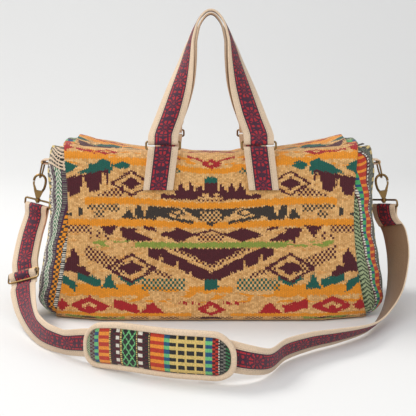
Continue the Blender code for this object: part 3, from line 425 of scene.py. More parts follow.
@dataclass(frozen=True)
class WovenFront:
    """The bag's main cloth: rows of stepped kilim figures, mirrored about the middle."""

    column: float = 2.2
    line: float = 1.75
    check: float = 2.7
    lean: float = 1.3
    stray: float = 4.5

    def material(self) -> bpy.types.Material:
        """Weave the cloth.

        Returns:
            The material.
        """
        loom = Loom("woven_front")
        u, v = loom.uv()
        column = (u / self.column).floor()
        lift = (column % 2.0) * 0.5
        side = (u / self.column) % 1.0
        slant = v / self.line + lift + abs(side - 0.5) * self.lean
        line = slant.floor()
        stray = (loom.cloud(loom.vector(u, v), 0.16, 1.0) - 0.5) * self.stray
        across = abs((column + 0.5) * self.column + stray)
        row = abs((line + 0.5 - lift) * self.line - 140.0 + stray * 0.8) + 140.0
        odd = ((column + (v / self.check).floor()) % 2.0) > 0.5
        chart = Chart(across, row, odd)
        cell = loom.scatter(loom.vector(column, line))
        patch = loom.cloud(loom.vector(u, v * 3.0), 0.06)
        ground = loom.mix(cell, Yarn.TAN.value, Yarn.PALE_TAN.value)
        ground = loom.mix(0.25 * (patch > 0.62), ground, Yarn.MUSTARD.value)
        colour = loom.mix(self.mustard(chart, patch), ground, Yarn.MUSTARD.value)
        for shape, yarn in (
            (self.teal(chart), Yarn.TEAL),
            (self.maroon_upper(chart), Yarn.MAROON),
            (self.maroon_lower(chart), Yarn.MAROON),
            (self.charcoal(chart), Yarn.CHARCOAL),
            (self.leaf(chart, patch), Yarn.LEAF),
            (self.red(chart), Yarn.RED),
        ):
            colour = loom.mix(shape, colour, yarn.value)
        fibre = loom.scatter(loom.vector(column * 7.0, (slant * 4.0).floor()))
        height = self.stitch(loom, side, slant)
        # Painted shade: the 0.44 * height term darkens the grooves between stitches. The cell and fibre terms
        # are random yarn tone.
        shade = 0.50 + 0.44 * height + 0.14 * cell + 0.10 * fibre
        colour = loom.shaded(colour, shade)
        return loom.dress(colour, 0.88, height, 0.9, sheen=0.15)

    def stitch(self, loom: Loom, side: Signal, slant: Signal) -> Signal:
        """Shape the slanted stitches.

        Args:
            loom: The material's nodes.
            side: Share of the way across a column.
            slant: Lines counted along the leaning stitches.

        Returns:
            The height, which feeds both the bump and the painted shade in the grooves.
        """
        ridge = 1.0 - abs((slant % 1.0) - 0.5) * 1.9
        groove = 1.0 - abs(side - 0.5) * 0.9
        return loom.math("SQRT", ridge) * groove

    def mustard(self, chart: Chart, patch: Signal) -> Signal:
        """Lay out the mustard rows.

        Args:
            chart: Stitch coordinates.
            patch: Noise that breaks the rows.

        Returns:
            The mask.
        """
        steady = any_of(
            chart.row.between(196.0, 202.5) & (chart.across < 128.0),
            chart.row.between(217.5, 224.5),
            chart.box(52.0, 104.0, 156.0, 164.0),
            chart.box(104.0, 160.0, 150.0, 158.0),
            chart.box(0.0, 40.0, 157.0, 163.0),
            chart.box(64.0, 160.0, 282.0, 293.0),
            chart.box(0.0, 22.0, 284.0, 290.0),
            chart.row.between(312.0, 318.0) & (chart.across > 20.0),
        )
        broken = any_of(
            chart.row.between(146.0, 164.0),
            chart.row.between(283.0, 300.0),
        )
        return steady | (broken & (patch > 0.57))

    def teal(self, chart: Chart) -> Signal:
        """Lay out the teal figures.

        Args:
            chart: Stitch coordinates.

        Returns:
            The mask.
        """
        checks = chart.box(26.0, 70.0, 276.0, 288.0) & chart.odd
        return any_of(
            chart.diamond(147.0, 166.0, 13.0, 7.0),
            chart.spike(108.0, 27.0, 172.0, 157.0) & (chart.across > 100.0),
            chart.box(100.0, 124.0, 163.0, 170.0),
            chart.diamond(90.0, 164.0, 9.0, 4.0),
            chart.box(0.0, 6.0, 167.0, 175.0),
            chart.box(30.0, 42.0, 160.0, 167.0) & chart.odd,
            chart.slope((158.0, 268.0), (138.0, 282.0), 9.0),
            chart.slope((136.0, 270.0), (113.0, 277.0), 9.0),
            chart.spike(104.0, 8.0, 286.0, 270.0),
            abs(chart.row - 281.0 + abs(chart.across - 81.0) * 0.5).between(0.0, 2.6)
            & (abs(chart.across - 81.0) < 12.5),
            checks,
            chart.box(0.0, 7.0, 275.0, 287.5),
        )

    def maroon_upper(self, chart: Chart) -> Signal:
        """Lay out the maroon figures above the light green row.

        Args:
            chart: Stitch coordinates.

        Returns:
            The mask.
        """
        left = chart.slope((148.0, 177.0), (104.0, 168.0), 19.0)
        notch = any_of(chart.spike(128.0, 8.0, 200.0, 176.0), chart.spike(108.0, 8.0, 200.0, 168.0),
                       chart.spike(146.0, 4.0, 200.0, 180.0))
        hatch = chart.box(88.0, 122.0, 182.0, 195.0) & chart.odd & (
            chart.row - 182.0 > (chart.across - 88.0) * 0.4
        )
        peaks = any_of(
            chart.box(0.0, 6.5, 174.0, 188.0),
            chart.spike(11.0, 7.0, 190.0, 175.5),
            chart.spike(20.5, 7.0, 191.0, 174.0),
            chart.spike(30.0, 8.0, 193.0, 175.0),
            chart.box(0.0, 36.0, 184.0, 189.5),
            chart.slope((12.0, 188.0), (50.0, 190.0), 5.0),
        ) & (1.0 - (chart.spike(5.5, 3.5, 186.0, 194.0) & (chart.row > 186.0)))
        leaves = any_of(
            chart.spike(104.0, 10.0, 224.0, 234.0),
            chart.slope((60.0, 236.0), (90.0, 225.0), 10.0) & chart.row.between(225.0, 239.0),
            chart.spike(84.0, 9.0, 226.0, 241.0),
            chart.diamond(32.0, 232.0, 21.0, 7.5),
            chart.slope((0.0, 225.0), (20.0, 232.0), 2.4),
            chart.box(0.0, 14.0, 231.0, 238.0) & chart.odd,
            chart.box(122.0, 150.0, 223.0, 231.0) & chart.odd,
            chart.box(100.0, 124.0, 229.0, 237.0) & chart.odd & (chart.across % 8.0 < 4.5),
            chart.slope((56.0, 226.0), (68.0, 223.0), 3.5),
        )
        return any_of(
            left & (1.0 - notch),
            chart.diamond(80.0, 182.0, 22.0, 13.0, 0.80),
            chart.diamond(80.0, 182.0, 10.5, 6.5),
            hatch,
            peaks,
            chart.box(0.0, 16.0, 192.0, 195.0) & chart.odd,
            leaves,
        )

    def maroon_lower(self, chart: Chart) -> Signal:
        """Lay out the maroon figures under the light green row.

        Args:
            chart: Stitch coordinates.

        Returns:
            The mask.
        """
        under = (chart.row + chart.across * 0.42 < 281.0) & (chart.row < 277.0)
        gap = abs(chart.row + chart.across * 0.478 - 268.0) < 1.9
        vee = under & (chart.row > 246.0) & (chart.across < 64.0) & (1.0 - gap)
        fringe = (chart.row + chart.across * 0.478).between(262.5, 266.2) & chart.odd
        notch = any_of(chart.spike(51.0, 4.5, 270.0, 250.0), chart.spike(35.0, 4.5, 277.0, 258.0),
                       chart.spike(21.5, 4.0, 282.0, 266.0))
        arrow = chart.spike(140.0, 14.0, 270.0, 246.0) & (1.0 - chart.spike(130.0, 6.0, 264.0, 248.0))
        checks = (chart.row - 243.0 + (128.0 - chart.across) * -0.42).between(0.0, 13.0)
        return any_of(
            vee & (1.0 - notch) & (1.0 - fringe),
            arrow,
            chart.slope((152.0, 262.0), (124.0, 270.0), 5.0),
            checks & chart.odd & chart.across.between(86.0, 128.0),
            chart.diamond(81.0, 266.0, 27.0, 15.0, 0.80),
            chart.diamond(81.0, 266.0, 13.0, 7.5),
            chart.slope((66.0, 262.0), (40.0, 272.0), 5.0) & chart.odd,
            chart.row.between(319.0, 326.0) & ((chart.across % 30.0).between(4.0, 22.0)) & chart.odd,
            chart.box(0.0, 10.0, 319.0, 325.0),
            chart.box(106.0, 138.0, 319.0, 325.0),
        )

    def charcoal(self, chart: Chart) -> Signal:
        """Lay out the charcoal figures.

        Args:
            chart: Stitch coordinates.

        Returns:
            The mask.
        """
        middle = chart.spike(0.0, 30.0, 203.0, 222.0) & (chart.row > 203.0)
        lattice = chart.box(0.0, 11.0, 206.0, 218.0) & chart.odd
        return any_of(
            middle & (1.0 - lattice),
            chart.box(56.0, 76.0, 203.0, 217.0) & (1.0 - chart.spike(67.0, 5.0, 203.0, 214.0)),
            chart.slope((36.0, 203.0), (58.0, 204.0), 10.0)
            & (chart.row < 203.0 + (chart.across - 30.0) * 0.6),
            chart.spike(84.0, 7.0, 217.0, 206.0),
            chart.diamond(34.0, 208.0, 9.0, 5.0, 0.55),
            chart.slope((18.0, 217.0), (50.0, 211.0), 3.4),
            chart.box(92.0, 104.0, 203.0, 210.0) & chart.odd,
            chart.box(104.0, 126.0, 203.0, 208.0) & chart.odd,
            chart.box(108.0, 118.0, 209.0, 216.0) & chart.odd,
            chart.box(130.0, 134.0, 206.0, 214.0),
            chart.box(140.0, 146.0, 211.0, 214.0),
        )

    def leaf(self, chart: Chart, patch: Signal) -> Signal:
        """Lay out the light green row.

        Args:
            chart: Stitch coordinates.
            patch: Noise that thins its ends.

        Returns:
            The mask.
        """
        strong = chart.box(0.0, 77.0, 240.0, 245.5)
        return strong | (chart.box(77.0, 125.0, 239.0, 245.0) & (patch > 0.5)) | (
            chart.row.between(318.5, 325.0) & chart.across.between(88.0, 150.0) & (patch > 0.48)
        )

    def red(self, chart: Chart) -> Signal:
        """Lay out the red figures.

        Args:
            chart: Stitch coordinates.

        Returns:
            The mask.
        """
        return any_of(
            chart.diamond(146.0, 144.5, 7.0, 5.5),
            chart.slope((136.0, 144.0), (118.0, 148.0), 3.0),
            chart.diamond(106.0, 149.0, 14.0, 4.0, 0.4),
            chart.spike(42.0, 11.0, 151.0, 144.0),
            chart.diamond(0.0, 151.5, 11.0, 6.5, 0.35),
            chart.slope((8.0, 147.0), (24.0, 143.0), 2.6),
            chart.diamond(153.0, 304.0, 7.0, 7.0),
            chart.diamond(124.0, 304.0, 22.0, 10.0, 0.45),
            chart.diamond(124.0, 306.0, 5.0, 3.5),
            chart.slope((74.0, 303.0), (99.0, 296.0), 9.0) & (chart.row > 296.0),
            chart.spike(60.0, 14.0, 312.0, 299.0),
            chart.box(12.0, 34.0, 299.0, 302.0) & ((chart.across % 8.0) < 5.0),
            chart.diamond(0.0, 307.0, 15.0, 9.0, 0.45),
        )


class Figure(Enum):
    """Small repeats woven into a stripe."""

    DOTS = "dots"
    CHECKS = "checks"
    BLOCKS = "blocks"
    SLANTS = "slants"
    HERRINGBONE = "herringbone"
    LATTICE = "lattice"
    GRID = "grid"
    STEPS = "steps"


@dataclass(frozen=True)
class Stripe:
    """One woven stripe: its width in millimetres, its two yarns and its figure."""

    width: float
    ground: Yarn
    motif: Yarn
    figure: Figure
    pitch: float = 5.0

    def mask(self, loom: Loom, s: Signal, t: Signal) -> Signal:
        """Draw the figure.

        Args:
            loom: The material's nodes; not used.
            s: Distance into the stripe.
            t: Distance along it.

        Returns:
            The mask of the motif's yarn.
        """
        p = self.pitch
        half = self.width / 2
        if self.figure is Figure.DOTS:
            return (abs(s - half) < self.width * 0.26) & ((t % p) < p * 0.55)
        if self.figure is Figure.CHECKS:
            return (((s / half).floor() + (t / p).floor()) % 2.0) > 0.5
        if self.figure is Figure.BLOCKS:
            return (t % (2.0 * p)) < p * 1.05
        if self.figure is Figure.STEPS:
            return (s.between(self.width * 0.15, self.width * 0.85)) & ((t % (2.0 * p)) < p * 0.85)
        if self.figure is Figure.SLANTS:
            return ((t + s * 0.45) % (2.0 * p)) < p
        if self.figure is Figure.HERRINGBONE:
            return ((t + abs((s % (2.0 * p)) - p) * 1.2) % p) < p * 0.5
        if self.figure is Figure.LATTICE:
            swing = abs((t % (2.0 * p)) - p) * (self.width / (2.0 * p))
            return (abs(abs(s - half) - swing * 0.5) < 0.9) | (abs(abs(s - half) - half + swing * 0.5) < 0.8)
        if self.figure is Figure.GRID:
            return ((s % (p * 1.1)) < p * 0.86) & ((t % p) < p * 0.5)
        raise ValueError(self.figure)


PAD_STRIPES = (
    Stripe(7.0, Yarn.BLACK, Yarn.LEAF_PALE, Figure.HERRINGBONE, 3.6),
    Stripe(8.0, Yarn.MAROON, Yarn.GREY, Figure.CHECKS, 2.6),
    Stripe(7.0, Yarn.BLUE, Yarn.PALE_GREEN, Figure.BLOCKS, 5.1),
    Stripe(17.0, Yarn.ORANGE, Yarn.BRICK, Figure.BLOCKS, 5.1),
    Stripe(2.5, Yarn.BLACK, Yarn.YELLOW, Figure.DOTS, 3.0),
    Stripe(7.0, Yarn.MAROON, Yarn.BLACK, Figure.CHECKS, 2.5),
    Stripe(7.0, Yarn.MAROON, Yarn.WHITE, Figure.STEPS, 5.1),
    Stripe(3.0, Yarn.BLACK, Yarn.YELLOW, Figure.DOTS, 3.0),
    Stripe(19.0, Yarn.BLACK, Yarn.PALE_GREEN, Figure.LATTICE, 7.0),
    Stripe(3.0, Yarn.BLACK, Yarn.YELLOW, Figure.DOTS, 3.0),
    Stripe(7.0, Yarn.MAROON, Yarn.WHITE, Figure.STEPS, 5.1),
    Stripe(7.0, Yarn.MAROON, Yarn.BLACK, Figure.CHECKS, 2.5),
    Stripe(3.0, Yarn.BLACK, Yarn.YELLOW, Figure.DOTS, 3.0),
    Stripe(18.0, Yarn.ORANGE, Yarn.BRICK, Figure.BLOCKS, 5.1),
    Stripe(7.0, Yarn.PALE_GREEN, Yarn.BLUE, Figure.BLOCKS, 5.1),
    Stripe(45.0, Yarn.YELLOW, Yarn.BLACK, Figure.GRID, 10.2),
    Stripe(8.0, Yarn.PALE_GREEN, Yarn.BLUE, Figure.BLOCKS, 5.1),
    Stripe(7.0, Yarn.MAROON, Yarn.BRICK, Figure.CHECKS, 2.6),
    Stripe(3.0, Yarn.BLACK, Yarn.WHITE, Figure.DOTS, 3.4),
    Stripe(6.0, Yarn.BLACK, Yarn.GREY, Figure.CHECKS, 2.4),
    Stripe(12.0, Yarn.BLACK, Yarn.GREEN, Figure.SLANTS, 2.4),
)

LEFT_STRIPES = (
    Stripe(3.9, Yarn.BLACK, Yarn.WHITE, Figure.DOTS, 3.4),
    Stripe(9.1, Yarn.CHARCOAL, Yarn.MUSTARD, Figure.CHECKS, 3.9),
    Stripe(9.1, Yarn.PURPLE, Yarn.GREY, Figure.DOTS, 3.4),
    Stripe(13.0, Yarn.WHITE, Yarn.GREEN, Figure.HERRINGBONE, 6.5),
    Stripe(11.7, Yarn.GREY, Yarn.PURPLE, Figure.CHECKS, 3.4),
    Stripe(9.0, Yarn.WHITE, Yarn.MAROON, Figure.DOTS, 4.4),
    Stripe(44.0, Yarn.YELLOW, Yarn.BLACK, Figure.GRID, 10.2),
    Stripe(12.0, Yarn.PALE_GREEN, Yarn.BLUE, Figure.BLOCKS, 5.1),
    Stripe(30.0, Yarn.ORANGE, Yarn.BRICK, Figure.BLOCKS, 5.6),
    Stripe(9.0, Yarn.MAROON, Yarn.WHITE, Figure.DOTS, 4.4),
    Stripe(30.0, Yarn.BLACK, Yarn.LIME, Figure.LATTICE, 12.0),
    Stripe(9.0, Yarn.MAROON, Yarn.WHITE, Figure.CHECKS, 4.4),
    Stripe(28.0, Yarn.ORANGE, Yarn.BRICK, Figure.BLOCKS, 5.6),
    Stripe(12.0, Yarn.BLUE, Yarn.PALE_GREEN, Figure.BLOCKS, 5.1),
    Stripe(10.0, Yarn.PURPLE, Yarn.GREY, Figure.CHECKS, 3.0),
    Stripe(16.0, Yarn.LEAF_PALE, Yarn.GREEN, Figure.HERRINGBONE, 4.4),
    Stripe(12.0, Yarn.BLACK, Yarn.WHITE, Figure.DOTS, 4.0),
    Stripe(60.0, Yarn.MAROON, Yarn.GREY, Figure.CHECKS, 4.4),
)

RIGHT_STRIPES = (
    Stripe(15.6, Yarn.DARK_GREEN, Yarn.LEAF_PALE, Figure.HERRINGBONE, 6.5),
    Stripe(5.2, Yarn.MAROON, Yarn.WHITE, Figure.DOTS, 4.2),
    Stripe(7.8, Yarn.BLUE, Yarn.LIME, Figure.BLOCKS, 5.2),
    Stripe(14.3, Yarn.ORANGE, Yarn.BRICK, Figure.BLOCKS, 5.2),
    Stripe(7.0, Yarn.MAROON, Yarn.WHITE, Figure.DOTS, 4.4),
    Stripe(16.0, Yarn.DARK_GREEN, Yarn.GREY, Figure.HERRINGBONE, 5.0),
    Stripe(44.0, Yarn.YELLOW, Yarn.BLACK, Figure.GRID, 10.2),
    Stripe(14.0, Yarn.GREEN, Yarn.BLACK, Figure.HERRINGBONE, 5.0),
    Stripe(30.0, Yarn.ORANGE, Yarn.BRICK, Figure.BLOCKS, 6.0),
    Stripe(9.0, Yarn.MAROON, Yarn.WHITE, Figure.CHECKS, 4.4),
    Stripe(30.0, Yarn.BLACK, Yarn.LIME, Figure.LATTICE, 12.0),
    Stripe(9.0, Yarn.MAROON, Yarn.WHITE, Figure.DOTS, 4.4),
    Stripe(24.0, Yarn.ORANGE, Yarn.BRICK, Figure.BLOCKS, 6.0),
    Stripe(14.0, Yarn.BLUE, Yarn.LIME, Figure.BLOCKS, 6.0),
    Stripe(16.0, Yarn.DARK_GREEN, Yarn.LEAF_PALE, Figure.HERRINGBONE, 4.6),
    Stripe(60.0, Yarn.BLACK, Yarn.GREY, Figure.CHECKS, 4.4),
)

CORNER_STRIPE = Stripe(60.0, Yarn.CREAM, Yarn.BLACK, Figure.GRID, 5.4)


@dataclass(frozen=True)
class StripedCloth:
    """Cloth woven in narrow figured stripes."""

    name: str
    stripes: tuple[Stripe, ...]
    thread: float = 1.3
    cap: Stripe | None = None
    cap_height: float = 229.0

    def material(self) -> bpy.types.Material:
        """Weave the stripes.

        Returns:
            The material.
        """
        loom = Loom(self.name)
        u, v = loom.uv()
        s = (u / self.thread).floor() * self.thread
        t = (v / self.thread).floor() * self.thread
        colour: Signal | Colour = Yarn.BLACK.value
        start = 0.0
        for stripe in self.stripes:
            local = s - start
            figure = stripe.mask(loom, local, t)
            woven = loom.mix(figure, stripe.ground.value, stripe.motif.value)
            colour = loom.mix(local > -0.01, colour, woven)
            start += stripe.width
        if self.cap:
            patch = (v > self.cap_height) & (u < self.cap.width)
            woven = loom.mix(self.cap.mask(loom, s, t), self.cap.ground.value, self.cap.motif.value)
            colour = loom.mix(patch, colour, woven)
        grain = loom.scatter(loom.vector((u / 0.9).floor(), (v / 1.6).floor()))
        rib = abs(((u / 1.8) % 1.0) - 0.5) + abs(((v / 1.5 + (u / 1.8).floor() * 0.5) % 1.0) - 0.5)
        # Painted shade: the 0.24 * (0.6 - rib) term darkens the grooves between ribs. The grain term is
        # random yarn tone.
        shade = 0.70 + 0.32 * grain + 0.24 * (0.6 - rib)
        colour = loom.shaded(colour, shade)
        return loom.dress(colour, 0.86, 1.0 - rib, 0.55, sheen=0.15)


@dataclass(frozen=True)
class BandWebbing:
    """The woven band on the webbing: navy rosettes on red."""

    repeat: float = 40.0

    def material(self) -> bpy.types.Material:
        """Weave the band.

        Returns:
            The material.
        """
        loom = Loom("banded_webbing")
        u, v = loom.uv()
        a = abs((u / 1.2).floor() * 1.2 + 0.6)
        b = abs(((v / 1.2).floor() * 1.2) % self.repeat - self.repeat / 2)
        reach = loom.math("SQRT", a * a + b * b)
        petal = loom.math("COSINE", loom.math("ARCTAN2", a, b) * 10.0)
        crescent = reach.between(12.0, 14.4) & (b > a * 0.7)
        spokes = reach.between(8.0, 12.6) & (petal > 0.1)
        bow = (b > 15.0) & (a > 1.2) & (self.repeat / 2 - b < a * 0.42)
        stem = (b > 9.0) & (a < 0.9)
        lattice = (b > 11.0) & (a.between(6.5, 8.3))
        heart = (reach < 2.2) | reach.between(4.4, 5.4)
        navy = any_of(
            (reach < 8.2 + petal * 1.6) & (1.0 - heart * 0.55),
            spokes,
            crescent,
            stem,
            (b > 14.4) & (1.0 - bow),
            lattice,
            a > 10.6,
        )
        cell = loom.scatter(loom.vector((u / 1.1).floor(), (v / 1.1).floor()))
        red = loom.mix(cell * 0.5, Yarn.BAND_RED.value, Yarn.RED.value)
        colour = loom.mix(navy * (0.8 + 0.2 * cell), red, Yarn.BAND_NAVY.value)
        shade = 0.78 + 0.34 * cell
        colour = loom.shaded(colour, shade)
        bead = 1.0 - abs(((u / 1.1) % 1.0) - 0.5) - abs(((v / 1.1) % 1.0) - 0.5)
        return loom.dress(colour, 0.8, bead, 0.35, sheen=0.1)


@dataclass(frozen=True)
class CanvasFinish:
    """Plain cotton canvas with a row of stitches along its edge."""

    name: str
    yarn: Yarn
    soil: Yarn
    seam: float = 14.6

    def material(self) -> bpy.types.Material:
        """Weave the canvas.

        Returns:
            The material.
        """
        loom = Loom(self.name)
        u, v = loom.uv()
        patch = loom.cloud(loom.place(), 22.0, 4.0)
        thread = loom.scatter(loom.vector((u / 0.8).floor(), (v / 0.8).floor()))
        colour = loom.mix(0.22 * patch, self.yarn.value, self.soil.value)
        shade = 0.86 + 0.2 * thread
        colour = loom.shaded(colour, shade)
        seam = (abs(abs(u) - self.seam) < 0.5) & ((v % 4.0) < 2.9)
        colour = loom.mix(seam * 0.5, colour, Yarn.STRAP_BACK.value)
        weave = 1.0 - abs(((u / 0.9) % 1.0) - 0.5) - abs(((v / 0.9 + (u / 0.9).floor() * 0.5) % 1.0) - 0.5)
        return loom.dress(colour, 0.85, weave * 0.7 + patch * 0.5 - seam * 0.4, 0.4, sheen=0.2)


@dataclass(frozen=True)
class DarkTape:
    """The zip's dark herringbone tape."""

    name: str = "dark_tape"

    def material(self) -> bpy.types.Material:
        """Weave the tape.

        Returns:
            The material.
        """
        loom = Loom(self.name)
        place = loom.place()
        parts = loom.node("ShaderNodeSeparateXYZ", {}, {0: place})
        x, y = loom.out(parts, 0) * 1000.0, loom.out(parts, 1) * 1000.0
        rib = ((x + abs((y % 2.0) - 1.0)) % 1.0)
        patch = loom.cloud(place, 90.0, 3.0)
        colour = loom.mix(rib * 0.5, Yarn.DARK_TAPE.value, Yarn.BLACK.value)
        return loom.dress(loom.mix(patch * 0.25, colour, Yarn.GREY.value), 0.85, rib, 0.25, sheen=0.1)


@dataclass(frozen=True)
class AgedBronze:
    """Antique bronze plate: dark in the hollows, rubbed bright on the edges."""

    name: str = "aged_bronze"
    dark: Colour = linear(58, 46, 32)
    bright: Colour = linear(142, 114, 72)

    def material(self) -> bpy.types.Material:
        """Plate the metal.

        Returns:
            The material.
        """
        loom = Loom(self.name)
        place = loom.place()
        patina = loom.cloud(place, 260.0, 4.0)
        point = loom.out(loom.node("ShaderNodeNewGeometry", {}, {}), "Pointiness")
        worn = loom.math("SMOOTH_MIN", (point - 0.5) * 8.0 + patina, 1.0, 0.1)
        colour = loom.mix(worn, self.dark, self.bright)
        scratch = loom.cloud(place, 1400.0, 2.0)
        return loom.dress(colour, 0.28 + 0.25 * patina, scratch * 0.5 + patina, 0.05, metallic=1.0)


@dataclass(frozen=True)
class StiffBoard:
    """The grey-brown fibreboard inside the base."""

    name: str = "fibreboard"

    def material(self) -> bpy.types.Material:
        """Press the board.

        Returns:
            The material.
        """
        loom = Loom(self.name)
        fleck = loom.cloud(loom.place(), 300.0, 5.0)
        colour = loom.mix(fleck, linear(88, 76, 62), linear(120, 104, 84))
        return loom.dress(colour, 0.85, fleck, 0.2)


def ease(t: float) -> float:
    """Run from 0 to 1 with level ends."""
    t = min(max(t, 0.0), 1.0)
    return t * t * (3 - 2 * t)


def half_width(z: float) -> float:
    """Give half the bag's width.

    Args:
        z: Height in millimetres.

    Returns:
        Half the width at the end seam.
    """
    t = z / (FRONT_RIDGE + FRONT_CORNER_RISE)
    straight = BASE_HALF_WIDTH + (TOP_HALF_WIDTH - BASE_HALF_WIDTH) * t
    return straight - WAIST_INSET * math.sin(math.pi * min(max(t, 0.0), 1.0))


def corner_rise(u: float) -> float:
    """Give how far the top has risen towards its corners."""
    t = abs(u)
    return t**4 * (5 - 4 * t)


def zip_height(u: float) -> float:
    """Give the height of the cloth's edge beside the zip."""
    return ZIP_HEIGHT + ZIP_END_RISE * max(0.0, (abs(u) - ZIP_STRAIGHT_SHARE) / (1 - ZIP_STRAIGHT_SHARE))


def rounded_run(corners: list[Point], radii: list[float], arc_steps: int,
                run_steps: list[int]) -> list[Point]:
    """Draw an open outline with rounded corners.

    Args:
        corners: Its corners.
        radii: One radius for each inner corner.
        arc_steps: Divisions of each arc.
        run_steps: Divisions of each straight run.

    Returns:
        The outline's points.
    """
    pieces = []
    for i in range(1, len(corners) - 1):
        here = Vector(corners[i])
        back = (Vector(corners[i - 1]) - here).normalized()
        ahead = (Vector(corners[i + 1]) - here).normalized()
        half = math.acos(max(-1.0, min(1.0, back.dot(ahead)))) / 2
        reach = radii[i - 1] / math.tan(half)
        centre = here + (back + ahead).normalized() * (radii[i - 1] / math.sin(half))
        first = here + back * reach - centre
        turn = first.angle_signed(here + ahead * reach - centre)
        turns = [Matrix.Rotation(-turn * k / arc_steps, 2) for k in range(arc_steps + 1)]
        pieces.append([centre + rotation @ first for rotation in turns])
    ends = [Vector(corners[0])] + [piece[-1] for piece in pieces]
    starts = [piece[0] for piece in pieces] + [Vector(corners[-1])]
    outline: list[Vector] = []
    for i, (start, end) in enumerate(zip(ends, starts)):
        outline += [start.lerp(end, k / run_steps[i]) for k in range(run_steps[i])]
        if i < len(pieces):
            outline += pieces[i][:-1]
    outline.append(Vector(corners[-1]))
    return [(p.x, p.y) for p in outline]


def bag_section(u: float, inset: float = 0.0) -> list[Point]:
    """Draw the bag's section, from the front zip edge round the base to the rear one.

    Args:
        u: Place across, -1 to 1.
        inset: Distance inside the outer face.

    Returns:
        The (y, z) points.
    """
    depth = HALF_DEPTH - inset
    front = FRONT_RIDGE + FRONT_CORNER_RISE * corner_rise(u) - inset
    rear = REAR_RIDGE + REAR_CORNER_RISE * corner_rise(u) - inset
    edge = zip_height(u) - inset
    half = ZIP_OPENING / 2
    corners = [(-half, edge), (-depth, front), (-depth, inset), (depth, inset), (depth, rear), (half, edge)]
    top, base = TOP_EDGE_RADIUS - inset, BASE_EDGE_RADIUS - inset
    return rounded_run(corners, [top, base, base, top], 7, [14, 36, 18, 36, 14])


def panel_bulge(u: float, y: float, z: float) -> float:
    """Give how far the front or rear swells.

    Args:
        u: Place across, -1 to 1.
        y: Depth.
        z: Height.

    Returns:
        The signed swelling.
    """
    share = (z - BASE_EDGE_RADIUS) / (REAR_RIDGE - BASE_EDGE_RADIUS - TOP_EDGE_RADIUS)
    if abs(y) < HALF_DEPTH - CLOTH or not 0 < share < 1:
        return 0.0
    return math.copysign(PANEL_BULGE * (1 - u * u) * math.sin(math.pi * share), y)


def dome_share(z: float) -> float:
    """Give the share of the full dome left at a height."""
    return 1 - END_DOME_LOSS * ease((z / FRONT_RIDGE - 0.3) / 0.4)


def grid_object(name: str, rows: list[list[Vector]], marks: list[list[Point]],
                materials: list[bpy.types.Material], closed: bool = False,
                column_material: list[int] | None = None, capped: bool = False) -> bpy.types.Object:
    """Make a smooth sheet or tube from rows of points.

    Args:
        name: The object's name.
        rows: Rows of points in millimetres.
        marks: Cloth coordinates of the same points.
        materials: Its materials.
        closed: Whether each row closes on itself.
        column_material: Which material each column of faces takes.
        capped: Whether to close both ends.

    Returns:
        The object.
    """
    width = len(rows[0])
    vertices = [tuple(p * MM) for row in rows for p in row]
    faces = []
    kinds = []
    spots = []
    for i in range(len(rows) - 1):
        for k in range(width if closed else width - 1):
            m = (k + 1) % width
            faces.append((i * width + k, i * width + m, (i + 1) * width + m, (i + 1) * width + k))
            far = marks[i][k + 1] if k + 1 < len(marks[i]) else marks[i][0]
            further = marks[i + 1][k + 1] if k + 1 < len(marks[i + 1]) else marks[i + 1][0]
            spots.append((marks[i][k], far, further, marks[i + 1][k]))
            kinds.append(column_material[k] if column_material else 0)
    if capped:
        for i in (0, len(rows) - 1):
            faces.append(tuple(range(i * width, (i + 1) * width)))
            spots.append(tuple(marks[i][k] for k in range(width)))
            kinds.append(0)
    mesh = bpy.data.meshes.new(name)
    mesh.from_pydata(vertices, [], faces)
    layer = mesh.uv_layers.new(name="cloth")
    for polygon, corners in zip(mesh.polygons, spots):
        for loop, mark in zip(polygon.loop_indices, corners):
            layer.data[loop].uv = mark
    for material in materials:
        mesh.materials.append(material)
    mesh.polygons.foreach_set("material_index", kinds)
    mesh.validate()
    mesh.shade_smooth()
    obj = bpy.data.objects.new(name, mesh)
    bpy.context.scene.collection.objects.link(obj)
    return obj


def face_outwards(obj: bpy.types.Object, centre: Vector) -> None:
    """Turn a sheet's faces away from a point.

    Args:
        obj: The sheet.
        centre: A point inside, in millimetres.
    """
    polygon = obj.data.polygons[len(obj.data.polygons) // 2]
    if (polygon.center - centre * MM).dot(polygon.normal) < 0:
        obj.data.flip_normals()


@dataclass(frozen=True)
class Piece:
    """What a dressed piece rides on and replaces, with the name of its material slot, which fit does not
    read.
    """

    body: str
    slot: str
    nodes: tuple[str, ...] = ()

    def fit(self, obj: bpy.types.Object) -> bpy.types.Object:
        """Fit a piece to the frame.

        Args:
            obj: The piece.

        Returns:
            The same piece.
        """
        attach(obj, self.body)
        if self.nodes:
            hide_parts(*self.nodes)
        log.info("piece %s: %d faces on %s", obj.name, len(obj.data.polygons), self.body)
        return obj


